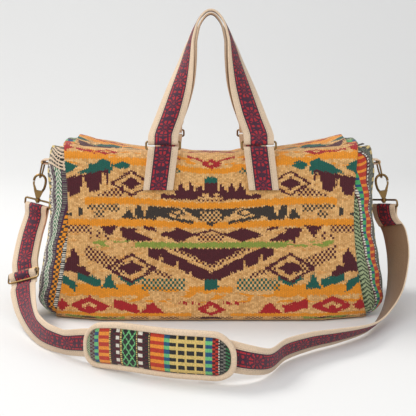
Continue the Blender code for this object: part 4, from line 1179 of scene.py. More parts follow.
@dataclass
class Ribbon:
    """A strap's middle line and the direction across it."""

    stations: list[tuple[Vector, Vector]]
    steps: int = 16
    under_depth: float = 5.0
    points: list[Vector] = field(default_factory=list)
    across: list[Vector] = field(default_factory=list)
    places: list[float] = field(default_factory=list)

    def __post_init__(self) -> None:
        """Run a smooth line through the stations."""
        centres = [p for p, _ in self.stations]
        widths = [w.normalized() for _, w in self.stations]
        for i in range(len(centres) - 1):
            before = centres[i - 1] if i else centres[0] * 2 - centres[1]
            after = centres[i + 2] if i + 2 < len(centres) else centres[-1] * 2 - centres[-2]
            for k in range(self.steps):
                t = k / self.steps
                a, b = centres[i], centres[i + 1]
                curve = (a * 2 + (b - before) * t + (before * 2 - a * 5 + b * 4 - after) * (t * t)
                         + (a * 3 - before - b * 3 + after) * (t * t * t)) / 2
                self.points.append(curve)
                self.across.append(widths[i].lerp(widths[i + 1], t).normalized())
        self.points.append(centres[-1])
        self.across.append(widths[-1])
        for i, point in enumerate(self.points):
            ahead = self.points[min(i + 1, len(self.points) - 1)] - self.points[max(i - 1, 0)]
            normal = ahead.cross(self.across[i]).normalized()
            drop = WEBBING_WIDTH / 2 * abs(self.across[i].z) + self.under_depth * max(0.0, -normal.z)
            point.z = max(point.z, SEAT + drop)
        self.places = [0.0]
        for a, b in zip(self.points, self.points[1:]):
            self.places.append(self.places[-1] + (b - a).length)

    @property
    def length(self) -> float:
        """Give the line's length."""
        return self.places[-1]

    def frame(self, place_on: float) -> tuple[Vector, Vector, Vector, Vector]:
        """Give the line's own axes.

        Args:
            place_on: Distance from the start.

        Returns:
            Point, direction along, direction across and outer normal.
        """
        at = min(max(place_on, 0.0), self.length)
        low, high = 0, len(self.places) - 2
        while low < high:
            middle = (low + high + 1) // 2
            if self.places[middle] < at:
                low = middle
            else:
                high = middle - 1
        share = (at - self.places[low]) / (self.places[low + 1] - self.places[low])
        point = self.points[low].lerp(self.points[low + 1], share)
        ahead = self.points[min(low + 2, len(self.points) - 1)] - self.points[max(low - 1, 0)]
        along = ahead.normalized()
        edge = self.across[low].lerp(self.across[low + 1], share).normalized()
        return point + along * (place_on - at), along, edge, along.cross(edge).normalized()

    def at(self, place_on: float, offset: float, sideways: float = 0.0) -> Vector:
        """Give a point beside the line."""
        point, _, edge, normal = self.frame(place_on)
        return point + edge * sideways + normal * offset


@dataclass(frozen=True)
class Webbing:
    """Banded webbing: a canvas strap with a raised woven band on its outer face."""

    band: bpy.types.Material
    canvas: bpy.types.Material
    back: bpy.types.Material
    width: float = WEBBING_WIDTH
    thickness: float = STRAP_THICKNESS
    banded: bool = True
    crown: float = 0.45
    piping: float = 0.4

    def section(self) -> tuple[list[Point], list[int]]:
        """Draw the section.

        Returns:
            Its points, and the material of each side.
        """
        w, t = self.width / 2, self.thickness / 2
        soft = min(0.9, t * 0.8)
        outer = [(-w, t - soft), (-w + soft, t)]
        if self.banded:
            b = BAND_HALF_WIDTH
            low = self.crown - 0.1
            outer += [(-b - self.piping, t), (-b, t + low), (0.0, t + self.crown), (b, t + low),
                      (b + self.piping, t)]
        outer += [(w - soft, t), (w, t - soft)]
        inner = [(w, soft - t), (w - soft, -t), (soft - w, -t), (-w, soft - t)]
        points = outer + inner
        kinds = [1] * len(points)
        if self.banded:
            kinds[2] = kinds[3] = kinds[4] = kinds[5] = 0
        # The flat back face takes the back material, which on the banded webbing is cream canvas painted in
        # shade.
        kinds[len(outer) + 1] = 2
        return points, kinds

    def sew(self, name: str, ribbon: Ribbon, route: list[Point], start_mark: float = 0.0) -> bpy.types.Object:
        """Sew webbing along a route.

        Args:
            name: The object's name.
            ribbon: The line it follows.
            route: (distance, offset) pairs.
            start_mark: Where the band's repeat starts.

        Returns:
            The object.
        """
        middles = [ribbon.at(s, n) for s, n in route]
        edges = [ribbon.frame(s)[2] for s, _ in route]
        return self.loft(name, middles, edges, start_mark)

    def loft(self, name: str, middles: list[Vector], edges: list[Vector],
             start_mark: float = 0.0) -> bpy.types.Object:
        """Sweep the section along points.

        Args:
            name: The object's name.
            middles: The middle line.
            edges: Directions across.
            start_mark: Where the band's repeat starts.

        Returns:
            The object.
        """
        section, kinds = self.section()
        rows = []
        marks = []
        mark = start_mark
        for i, middle in enumerate(middles):
            ahead = middles[min(i + 1, len(middles) - 1)] - middles[max(i - 1, 0)]
            normal = ahead.normalized().cross(edges[i]).normalized()
            if i:
                mark += (middle - middles[i - 1]).length
            rows.append([middle + edges[i] * a + normal * n for a, n in section])
            marks.append([(a, mark) for a, _ in section])
        return grid_object(name, rows, marks, [self.band, self.canvas, self.back], True, kinds, True)


def bend(place_on: float, radius: float, sign: float, steps: int = 12, start: float = -90.0,
         end: float = 90.0) -> list[Point]:
    """Turn a route round a bar."""
    turns = [math.radians(start + (end - start) * k / steps) for k in range(steps + 1)]
    return [(place_on - sign * radius * math.cos(a), radius * math.sin(a)) for a in turns]


def smooth_route(route: list[Point], longest: float) -> list[Point]:
    """Divide a route's long steps, easing its offsets.

    Args:
        route: (distance, offset) pairs.
        longest: Longest step left.

    Returns:
        The divided route.
    """
    result: list[Point] = []
    for (s0, n0), (s1, n1) in zip(route, route[1:]):
        steps = max(1, math.ceil(abs(s1 - s0) / longest))
        for k in range(steps):
            t = k / steps
            result.append((s0 + (s1 - s0) * t, n0 + (n1 - n0) * (ease(t) if steps > 2 else t)))
    result.append(route[-1])
    return result


def wire(name: str, points: list[Vector], radius: float, material: bpy.types.Material,
         sides: int = 14) -> bpy.types.Object:
    """Bend a closed round wire.

    Args:
        name: The object's name.
        points: Its closed middle line in millimetres.
        radius: The wire's radius.
        material: Its finish.
        sides: Sides of its section.

    Returns:
        The object.
    """
    count = len(points)
    side = Vector((0.0, 0.0, 0.0))
    rows = []
    marks = []
    for i in range(count + 1):
        along = (points[(i + 1) % count] - points[i - 1 if i < count else count - 1]).normalized()
        if not i:
            guide = Vector((0.0, 0.0, 1.0)) if abs(along.z) < 0.9 else Vector((1.0, 0.0, 0.0))
            side = along.cross(guide)
        side = (side - along * side.dot(along)).normalized()
        other = along.cross(side)
        turns = [math.tau * k / sides for k in range(sides)]
        rows.append([points[i % count] + (side * math.cos(a) + other * math.sin(a)) * radius for a in turns])
        marks.append([(a * radius, float(i)) for a in turns])
    return grid_object(name, rows, marks, [material], True)


def rounded_loop(width: float, height: float, radius: float, steps: int = 6) -> list[Point]:
    """Draw a closed rectangle with round corners.

    Args:
        width: Across.
        height: Tall.
        radius: Corner radius.
        steps: Divisions of each corner.

    Returns:
        Its points about the origin.
    """
    loop = []
    for turn, (a, b) in enumerate(((1, 1), (-1, 1), (-1, -1), (1, -1))):
        for k in range(steps + 1):
            angle = math.radians(90 * turn + 90 * k / steps)
            loop.append((a * (width / 2 - radius) + radius * math.cos(angle),
                         b * (height / 2 - radius) + radius * math.sin(angle)))
    return loop


@dataclass(frozen=True)
class BagBody:
    """The soft shell: the wrap and its two domed ends."""

    cloth: bpy.types.Material
    left_end: bpy.types.Material
    right_end: bpy.types.Material
    columns: int = 112
    thickness: float = 1.6
    broad_dent: float = 2.2
    fine_dent: float = 0.9
    top_hollow: float = 8.0
    hollow_reach: float = 66.0
    slump: float = 13.0
    foot_slump: float = 9.0
    top_sag: float = 11.0
    tab_place: float = 77.0
    end_middle: float = 0.46
    end_puff: float = 12.0
    pucker: float = 1.4
    end_sag: float = 2.5
    stitch_scale: float = 1.491
    row_scale: float = 1.537
    top_row: float = 148.0
    base_crowding: float = 0.8

    def row_mark(self, x: float, down: float) -> Point:
        """Give the pattern's coordinates on the front or rear.

        Args:
            x: Place along the bag.
            down: Distance along the cloth below the rings' bars.

        Returns:
            Pattern coordinates.
        """
        d = abs(x) / self.stitch_scale
        row = self.top_row + down / self.row_scale
        row += self.base_crowding * max(0.0, row - 308.0)
        sag = self.top_sag * max(0.0, min(1.0, 1 - (row - 155.0) / 85.0))
        sag *= 0.5 + 0.5 * math.cos(math.pi * min(d / 85, 1))
        return x / self.stitch_scale, row - sag * min(1.0, max(0.0, (row - 128.0) / 14.0))

    def soften(self, u: float, point: Vector) -> Vector:
        """Dent the cloth as soft cloth hangs.

        Args:
            u: Place across, -1 to 1.
            point: A point of the shell.

        Returns:
            The moved point.
        """
        x, y, z = point
        edge = min(1.0, (1 - abs(u)) / 0.12)
        under_tab = ease((abs(abs(x) - self.tab_place) - 24.0) / 22.0) if z > 175 else 1.0
        zip_calm = ease((abs(y) - 16.0) / 40.0)
        rest = ease(z / 26.0)
        amount = edge * under_tab * zip_calm * rest
        broad = noise.noise(Vector((x * 0.014, y * 0.02 + 3.0, z * 0.017)))
        crease = noise.noise(Vector((x * 0.045 + 9.0, y * 0.03, z * 0.02)))
        depth = (self.broad_dent * (broad + 0.35) + self.fine_dent * crease) * amount
        hollow = self.top_hollow * math.exp(-((x / self.hollow_reach) ** 2))
        hollow *= ease((z - 205.0) / 45.0) * amount
        inward = Vector((0.0, -math.copysign(1.0, y) if abs(y) > 60 else 0.0, -0.35 if z > 200 else 0.0))
        slump = self.slump * ease((110.0 - z) / 95.0) + self.foot_slump * ease((22.0 - z) / 20.0)
        slump *= ease((abs(y) - 60.0) / 35.0) * min(1.0, (1 - abs(u)) / 0.3)
        forward = Vector((0.0, math.copysign(slump, y), 0.0))
        return point + inward * (depth + hollow) + forward

    def wrap(self) -> bpy.types.Object:
        """Make the wrap.

        Returns:
            The object.
        """
        rows = []
        marks = []
        for i in range(self.columns + 1):
            u = -1 + 2 * i / self.columns
            section = bag_section(u)
            points = []
            for y, z in section:
                point = Vector((u * half_width(z), y + panel_bulge(u, y, z), z))
                points.append(self.soften(u, point))
            lengths = [0.0]
            for a, b in zip(section, section[1:]):
                lengths.append(lengths[-1] + math.dist(a, b))
            level = min(range(len(section) // 2), key=lambda k: abs(section[k][1] - 150.0))
            start = lengths[level] - (RING_HEIGHT - section[level][1])
            middle = lengths[-1] / 2
            row_marks = []
            for k, point in enumerate(points):
                down = min(lengths[k], 2 * middle - lengths[k]) - start
                row_marks.append(self.row_mark(point.x, down))
            rows.append(points)
            marks.append(row_marks)
        obj = grid_object("wrap_cloth", rows, marks, [self.cloth])
        face_outwards(obj, Vector((0.0, 0.0, 130.0)))
        solid = obj.modifiers.new("cloth_thickness", "SOLIDIFY")
        solid.thickness = self.thickness * MM
        solid.offset = -1.0
        return Piece("bag", "woven_textile", ("body_wrap",)).fit(obj)

    def end(self, name: str, side: int, node: str, cloth: bpy.types.Material) -> bpy.types.Object:
        """Make one domed end.

        Args:
            name: The object's name.
            side: -1 for the left, 1 for the right.
            node: The CAD node it stands for.
            cloth: Its striped cloth.

        Returns:
            The object.
        """
        inset = CLOTH + 0.6
        share = 1 - 2 * (END_SEAM_INSET + CLOTH) / TOP_HALF_WIDTH
        loop = bag_section(share, inset)
        middle = Vector((0.0, (FRONT_RIDGE + FRONT_CORNER_RISE) * self.end_middle))
        rings = [1.0, 0.985, 0.965, 0.94, 0.91, 0.87, 0.82, 0.76, 0.69, 0.6, 0.5, 0.4, 0.3, 0.2, 0.1, 0.02]
        rows = []
        marks = []
        for r in rings:
            dome = END_DOME * (1 - r**7) ** 0.6
            points = []
            spots = []
            for y, z in loop:
                flat = middle + (Vector((y, z)) - middle) * r
                near_seam = ease((1 - r) / 0.1)
                pucker = self.pucker * math.sin(flat.y * 0.16 + flat.x * 0.1)
                pucker *= near_seam * ease((r - 0.5) / 0.4)
                sag = self.end_sag * noise.noise(Vector((flat.x * 0.02, flat.y * 0.02, side * 4.0)))
                sag *= ease((1 - r) / 0.2)
                x = half_width(flat.y) - END_SEAM_INSET + dome * dome_share(flat.y)
                x += min(0.0, sag) + pucker - self.pucker
                puff = self.end_puff * ease((flat.y - 205.0) / 40.0) * ease((abs(flat.x) - 14.0) / 22.0)
                puff *= near_seam * ease((r - 0.6) / 0.2)
                points.append(Vector((side * x, flat.x, flat.y + puff)))
                spots.append(self.end_mark(side, flat.x, flat.y))
            rows.append(points)
            marks.append(spots)
        obj = grid_object(name, rows, marks, [cloth])
        face_outwards(obj, Vector((side * 150.0, 0.0, 130.0)))
        return Piece("bag", "striped_textile", (node,)).fit(obj)

    @staticmethod
    def end_mark(side: int, y: float, z: float) -> Point:
        """Give the stripes' coordinates on an end.

        Args:
            side: -1 for the left, 1 for the right.
            y: Depth.
            z: Height.

        Returns:
            Distance across the stripes, and along them.
        """
        t = max(-1.0, min(1.0, y / 112.0))
        swell = 34.0 * math.copysign(abs(t) ** 7, t)
        if side < 0:
            drift = 15.0 * ease((z - 105.0) / 95.0)
        else:
            drift = 20.0 * ease((z - 165.0) / 75.0) - 8.0 * ease((170.0 - z) / 150.0) + 8.0
        return 145.0 + y + swell + drift, z

    def build(self) -> None:
        """Build the shell."""
        self.wrap()
        self.end("left_end_cloth", -1, "left_end_panel", self.left_end)
        self.end("right_end_cloth", 1, "right_end_panel", self.right_end)


@dataclass(frozen=True)
class Carry:
    """One handle with its rings and tabs."""

    prefix: str
    side: int
    bar: float
    webbing: Webbing
    metal: bpy.types.Material
    spread: float = 71.5
    rise: float = 471.0
    lean: float = 25.0
    inner_width: float = 48.0

    def tabs(self) -> None:
        """Sew the two tabs."""
        web = replace(self.webbing, thickness=TAB_THICKNESS)
        layer = (TAB_THICKNESS + SEAT) / 2
        turn = RING_WIRE + RUNNING + TAB_THICKNESS / 2
        half = WEBBING_WIDTH / 2
        for name, end in (("left", -1), ("right", 1)):
            stations = []
            for k in range(9):
                z = RING_HEIGHT - TAB_LENGTH * k / 8
                x = end * (self.spread + TAB_SPLAY * k / 8)
                y = self.side * self.bar
                if z < RING_HEIGHT - TAB_LENGTH * 0.3:
                    places = [(x + a) / half_width(z) for a in (-half, 0.0, half)]
                    swell = max(abs(panel_bulge(u, HALF_DEPTH, z)) for u in places)
                    y = self.side * max(self.bar, HALF_DEPTH + swell + SEAT + TAB_THICKNESS + SEAT / 2)
                stations.append((Vector((x, y, z)), Vector((-self.side, 0.0, 0.0))))
            doubled = [14.0 + (FOLD_LENGTH - 14.0) * k / 3 for k in range(4)]
            single = [FOLD_LENGTH + (TAB_LENGTH - FOLD_LENGTH) * k / 3 for k in range(1, 4)]
            route = [(s, -layer) for s in reversed(doubled)] + [(4.0, -turn)] + bend(0.0, turn, 1)
            route += [(4.0, turn)] + [(s, layer) for s in doubled + single]
            obj = web.sew(f"{self.prefix}_{name}_tab_cloth", Ribbon(stations), smooth_route(route, 3.0), 3.0)
            Piece("bag", "banded_webbing", (f"{self.prefix}_{name}_tab",)).fit(obj)

    def rings(self) -> Vector:
        """Bend the two rings.

        Returns:
            The middle of the upper bars.
        """
        lean = math.radians(RING_LEAN)
        up = Vector((0.0, -self.side * math.sin(lean), math.cos(lean)))
        lower = Vector((0.0, self.side * self.bar, RING_HEIGHT))
        loop = rounded_loop(self.inner_width + 2 * RING_WIRE, RING_PITCH, 3.0)
        for name, end in (("left", -1), ("right", 1)):
            middle = lower + Vector((end * self.spread, 0.0, 0.0))
            points = [middle + Vector((a, 0.0, 0.0)) + up * (b + RING_PITCH / 2) for a, b in loop]
            obj = wire(f"{self.prefix}_{name}_wire_ring", points, RING_WIRE, self.metal)
            Piece(f"{self.prefix}_rings", "aged_bronze", (f"{self.prefix}_{name}_ring",)).fit(obj)
        return lower + up * RING_PITCH

    def handle(self, upper: Vector) -> None:
        """Sew the handle.

        Args:
            upper: The middle of the upper bars.
        """
        web = replace(self.webbing, thickness=HANDLE_THICKNESS)
        top = self.rise - HANDLE_THICKNESS - upper.z
        left = []
        for height, share in ((0.0, 1.0), (0.06, 0.985), (0.20, 0.84), (0.39, 0.67), (0.58, 0.525),
                              (0.77, 0.405), (0.90, 0.28), (0.975, 0.14)):
            y = upper.y + (self.side * self.lean - upper.y) * height
            turn = math.radians(90.0 * ease(height * 1.02))
            across = Vector((self.side * math.cos(turn), -self.side * math.sin(turn), 0.0))
            left.append((Vector((-self.spread * share, y, upper.z + top * height)), across))
        apex = (Vector((0.0, self.side * self.lean, upper.z + top)), Vector((0.0, -self.side, 0.0)))
        right = [(Vector((-p.x, p.y, p.z)), Vector((-w.x, w.y, w.z))) for p, w in reversed(left)]
        ribbon = Ribbon(left + [apex] + right)
        layer = (HANDLE_THICKNESS + SEAT) / 2
        turn = RING_WIRE + RUNNING + HANDLE_THICKNESS / 2
        head = [(FOLD_LENGTH, -layer), (16.0, -layer), (4.0, -turn)]
        head += bend(0.0, turn, 1) + [(4.0, turn), (16.0, layer)]
        end = ribbon.length
        tail = [(end - s, n) for s, n in reversed(head)]
        obj = web.sew(f"{self.prefix}_handle_webbing", ribbon, smooth_route(head + tail, 3.0), -6.0)
        Piece(f"{self.prefix}_grip", "banded_webbing", (f"{self.prefix}_handle",)).fit(obj)

    def build(self) -> None:
        """Build the tabs, rings and handle."""
        self.tabs()
        self.handle(self.rings())


@dataclass(frozen=True)
class EyeBar:
    """Where the strap turns round a hook's eye."""

    bar: Vector
    edge: Vector
    down: Vector


def eye_bar(side: int, facing: Vector) -> EyeBar:
    """Place a hook's eye as the CAD part has it.

    Args:
        side: -1 for the left, 1 for the right.
        facing: Direction across the strap before it is squared to the hook.

    Returns:
        The eye's bar.
    """
    tilt = math.radians(HOOK_TILT)
    down = Vector((side * math.sin(tilt), 0.0, -math.cos(tilt)))
    edge = (facing - down * facing.dot(down)).normalized()
    return EyeBar(Vector((side * EYE_REACH, 0.0, EYE_HEIGHT)), edge, down)


@dataclass(frozen=True)
class ShoulderStrap:
    """The long strap with its adjuster, padded shoulder piece and keepers."""

    webbing: Webbing
    pad_cloth: bpy.types.Material
    adjuster_place: float = 136.0
    adjuster_pitch: float = 12.0
    adjuster_wire: float = 1.5
    adjuster_lead: float = 22.0
    fold_start: float = 14.0
    fold_lead: float = 4.0
    pad_start: float = 440.0
    pad_length: float = 212.0
    pad_width: float = 66.0
    pad_corner: float = 28.0
    pad_depth: float = 9.0
    pad_gap: float = 0.9
    middle_mark: float = 40.0
    keeper_inset: float = 48.0
    binding: float = 7.0

    def line(self) -> Ribbon:
        """Run the strap's line.

        Returns:
            The ribbon.
        """
        left = eye_bar(-1, Vector((0.86, -0.51, 0.0)))
        right = eye_bar(1, Vector((0.70, -0.71, 0.0)))
        inner = (
            ((-292.0, -14.0, 112.0), (0.90, -0.40, 0.03)),
            ((-295.0, -46.0, 80.0), (0.93, -0.26, 0.22)),
            ((-290.0, -97.0, 54.0), (0.92, -0.21, 0.30)),
            ((-278.0, -146.0, 36.0), (0.73, -0.05, 0.68)),
            ((-262.0, -196.0, 27.0), (0.42, -0.06, 0.90)),
            ((-243.0, -247.0, 23.5), (0.10, -0.12, 0.98)),
            ((-222.0, -283.0, 22.0), (0.07, -0.36, 0.92)),
            ((-197.0, -309.0, 22.0), (0.05, -0.45, 0.88)),
            ((-165.0, -336.0, 29.0), (0.05, -0.32, 0.94)),
            ((-115.0, -372.0, 37.6), (0.0, -0.17, 0.98)),
            ((-50.0, -401.0, 37.6), (0.0, -0.15, 0.99)),
            ((10.0, -416.0, 37.6), (0.0, -0.15, 0.98)),
            ((48.0, -413.0, 29.5), (0.0, -0.32, 0.94)),
            ((74.0, -388.0, 21.0), (0.0, -0.50, 0.86)),
            ((96.0, -340.0, 19.5), (0.0, -0.57, 0.82)),
            ((135.0, -299.0, 17.8), (0.0, -0.65, 0.76)),
            ((178.0, -266.0, 16.0), (0.0, -0.75, 0.66)),
            ((220.0, -222.0, 13.5), (-0.04, -0.86, 0.50)),
            ((254.0, -160.0, 17.0), (0.12, -0.92, 0.36)),
            ((281.0, -106.0, 39.0), (0.46, -0.74, 0.48)),
            ((296.0, -54.0, 80.0), (0.64, -0.60, 0.48)),
            ((296.0, -15.0, 118.0), (0.68, -0.66, 0.30)),
        )
        stations = [(left.bar, left.edge), (left.bar + left.down * 18.0, left.edge)]
        stations += [(Vector(p), Vector(w)) for p, w in inner]
        stations += [(right.bar + right.down * 18.0, right.edge), (right.bar, right.edge)]
        return Ribbon(stations)

    def route(self, ribbon: Ribbon) -> list[Point]:
        """Lead the strap from the adjuster's bar round both eyes.

        Args:
            ribbon: The strap's line.

        Returns:
            (distance, offset) pairs.
        """
        thick = self.webbing.thickness
        half = (thick + SEAT) / 2
        turn = EYE_WIRE + RUNNING + thick / 2
        hug = self.adjuster_wire + RUNNING + thick / 2
        layer = thick + SEAT
        bar, pitch = self.adjuster_place, self.adjuster_pitch
        route = [(bar + hug * math.cos(math.radians(a)), hug * math.sin(math.radians(a)))
                 for a in range(120, -91, -15)]
        route += [(bar - s, -n) for s, n in ((4.0, hug + 0.7), (8.0, hug + layer + 0.3),
                                             (pitch, hug + layer + 0.6), (pitch + 5.0, hug + layer + 0.3))]
        start = bar - pitch - self.adjuster_lead
        fold, lead = self.fold_start, self.fold_lead
        route += [(start, -half), (fold, -half), (lead, -turn)] + bend(0.0, turn, 1)
        route += [(lead, turn), (fold, half), (start, half)]
        crest, dip = hug + layer, hug + 0.5
        rise = ((pitch + 4.0, -dip), (pitch, -dip), (8.6, 1.2 - dip), (6.9, 1.2), (5.6, crest - 1.9),
                (2.6, crest))
        route += [(bar - s, n) for s, n in rise] + [(bar + s, n) for s, n in reversed(rise)]
        end = ribbon.length
        route += [(bar + pitch + self.adjuster_lead, half), (end - fold, half), (end - lead, turn)]
        route += list(reversed(bend(end, turn, -1)))
        return route + [(end - lead, -turn), (end - fold, -half), (end - FOLD_LENGTH, -half)]

    def outline(self, margin: float, steps: int = 8, runs: int = 44) -> list[Point]:
        """Draw half the pad's outline.

        Args:
            margin: Distance inside the pad's edge.
            steps: Divisions of each round corner.
            runs: Divisions of the straight run.

        Returns:
            (distance from the end, half height) pairs.
        """
        radius = self.pad_corner - margin
        half = self.pad_width / 2 - margin
        turns = [math.radians(90 * k / steps) for k in range(steps + 1)]
        corner = [(margin + radius * (1 - math.cos(a)), half - radius * (1 - math.sin(a))) for a in turns]
        straight = self.pad_length - 2 * self.pad_corner
        run = [(self.pad_corner + straight * k / runs, half) for k in range(1, runs)]
        return corner + run + [(self.pad_length - s, h) for s, h in reversed(corner)]

    def pad(self, ribbon: Ribbon) -> None:
        """Make the padded shoulder piece with its binding.

        Args:
            ribbon: The strap's line.
        """
        back = self.webbing.thickness + SEAT / 2 + self.pad_gap
        depth = self.pad_depth
        shares = [-1 + 2 * k / 14 for k in range(15)]
        rows = []
        marks = []
        for s, half in self.outline(self.binding + SEAT):
            end_share = min(1.0, half / (self.pad_width / 2 - self.binding - SEAT))
            rim = 0.35 + 0.65 * end_share
            quilt = 0.35 * math.sin(s * 0.9)
            crown = [(w, back + depth * (0.66 + 0.34 * rim * (1 - w**4)) + quilt * (1 - w * w))
                     for w in shares]
            base = [(w, back + 0.8 * w**4) for w in (1.0, 0.5, 0.0, -0.5, -1.0)]
            profile = crown + base
            rows.append([ribbon.at(self.pad_start + s, n, half * w) for w, n in profile])
            marks.append([(s - self.binding, half * w + self.middle_mark) for w, _ in profile])
        obj = grid_object("pad_cushion", rows, marks, [self.pad_cloth], True, None, True)
        Piece("bag", "striped_textile", ("shoulder_pad",)).fit(obj)
        self.edge_binding(ribbon, back, depth)

    def edge_binding(self, ribbon: Ribbon, back: float, depth: float) -> None:
        """Bind the pad's edge.

        Args:
            ribbon: The strap's line.
            back: Offset of the pad's back.
            depth: The pad's depth.
        """
        section = ((0.5, 0.10), (0.0, 0.25), (0.0, 0.60), (0.08, 0.78), (0.35, 0.88), (0.75, 0.86),
                   (1.0, 0.74), (1.0, 0.12), (0.75, 0.04))
        loops = []
        for share, level in section:
            upper = self.outline(self.binding * share)
            loops.append([(s, h, level) for s, h in upper] + [(s, -h, level) for s, h in reversed(upper)])
        rows = []
        marks = []
        mark = 0.0
        count = len(loops[0])
        for i in range(count + 1):
            spots = [loop[i % count] for loop in loops]
            row = [ribbon.at(self.pad_start + s, back + 0.4 + level * depth, h) for s, h, level in spots]
            if rows:
                mark += (row[1] - rows[-1][1]).length
            rows.append(row)
            marks.append([(k * 1.6, mark) for k in range(len(row))])
        obj = grid_object("pad_edge_binding", rows, marks, [self.webbing.canvas], True)
        Piece("bag", "cream_canvas", ("pad_binding",)).fit(obj)

    def keepers(self, ribbon: Ribbon) -> None:
        """Sew the two keepers behind the pad.

        Args:
            ribbon: The strap's line.
        """
        web = replace(self.webbing, back=self.webbing.canvas, width=20.0, thickness=2.0, banded=False)
        back = self.webbing.thickness + SEAT / 2 + self.pad_gap
        reach = WEBBING_WIDTH / 2 + 1.6
        behind = SEAT / 2 - 1.2 - web.thickness / 2
        seat = back - SEAT - web.thickness / 2
        route = [(-reach - 3.0, seat), (-reach, seat - 0.4), (0.4 - reach, behind), (0.0, behind),
                 (reach - 0.4, behind), (reach, seat - 0.4), (reach + 3.0, seat)]
        first = self.pad_start + self.keeper_inset
        last = self.pad_start + self.pad_length - self.keeper_inset
        for name, place_on in (("left", first), ("right", last)):
            along = ribbon.frame(place_on)[1]
            points = [ribbon.at(place_on, n, w) for w, n in route]
            obj = web.loft(f"{name}_keeper_cloth", points, [along] * len(points))
            Piece("bag", "banded_webbing", (f"pad_keeper_{name}",)).fit(obj)

    def build(self) -> None:
        """Build the strap and all on it."""
        ribbon = self.line()
        strap = self.webbing.sew("strap_webbing", ribbon, smooth_route(self.route(ribbon), 4.0), 8.0)
        Piece("bag", "banded_webbing", ("shoulder_strap",)).fit(strap)
        self.pad(ribbon)
        self.keepers(ribbon)
        log.info("strap line %.1f mm", ribbon.length)


@dataclass(frozen=True)
class ZipTeeth:
    """The two rows of metal teeth."""

    metal: bpy.types.Material
    reach: float = 182.0
    pitch: float = 2.4
    root: float = 3.5

    def build(self) -> None:
        """Set the teeth on a thin cord along each tape."""
        middle = ZIP_HEIGHT - CLOTH - 1.2 - 0.5
        for name, side in (("front", -1), ("rear", 1)):
            rows = []
            marks = []
            count = int(2 * self.reach / self.pitch)
            for k in range(count * 4 + 1):
                x = -self.reach + k * self.pitch / 4
                phase = k % 4
                tall = 1.05 if phase in (1, 2) else 0.55
                inner = 1.15 if phase in (1, 2) else 2.3
                ring = ((inner, -tall), (self.root, -0.6), (self.root, 0.6), (inner, tall))
                rows.append([Vector((x, side * a, middle + b)) for a, b in ring])
                marks.append([(a, x) for a, _ in ring])
            obj = grid_object(f"zip_teeth_{name}", rows, marks, [self.metal], True, None, True)
            Piece("bag", "aged_bronze", (f"zip_row_{name}",)).fit(obj)


@dataclass(frozen=True)
class SideLoop:
    """A webbing loop at the top of an end, sewn round its thin ring."""

    side: int
    name: str
    webbing: Webbing
    metal: bpy.types.Material

    def build(self) -> None:
        """Sew the loop round the ring."""
        node = frame["nodes"][f"{self.name}_side_loop"]
        web = replace(self.webbing, back=self.webbing.canvas, width=LOOP_WIDTH, thickness=LOOP_THICKNESS,
                      banded=False)
        points = self.middle_line(node)
        edges = [Vector((0.0, 1.0, 0.0))] * len(points)
        obj = web.loft(f"{self.name}_loop_cloth", points, edges)
        Piece("bag", "banded_webbing", (f"{self.name}_side_loop",)).fit(obj)

    def middle_line(self, node: bpy.types.Object) -> list[Vector]:
        """Give the loop's middle line.

        Args:
            node: The CAD loop, for its place on the end.

        Returns:
            The points.
        """
        low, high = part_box(node.name)
        wall = min(abs(low.x), abs(high.x)) / MM
        nose = max(abs(low.x), abs(high.x)) / MM - LOOP_THICKNESS / 2
        height = SIDE_RING_HEIGHT
        turn = SIDE_RING_WIRE + RUNNING + LOOP_THICKNESS / 2
        neck = nose - turn - 5.0
        upper = [(wall + 2.2, height + 12.0), (wall + 6.0, height + 9.6), (wall + 8.8, height + 7.0),
                 (wall + 13.0, height + 4.6), (neck, height + turn + 0.3), (nose - turn, height + turn)]
        lower = [(nose - turn, height - turn), (neck, height - turn - 0.3), (wall + 15.5, height - 4.8),
                 (wall + 13.0, height - 7.0), (wall + 14.2, height - 10.0), (wall + 15.2, height - 13.0)]
        arc = [(nose - turn + turn * math.sin(a), height + turn * math.cos(a))
               for a in (math.radians(d) for d in (20, 45, 70, 90, 110, 135, 160))]
        return [Vector((self.side * x, 0.0, z)) for x, z in upper + arc + lower]


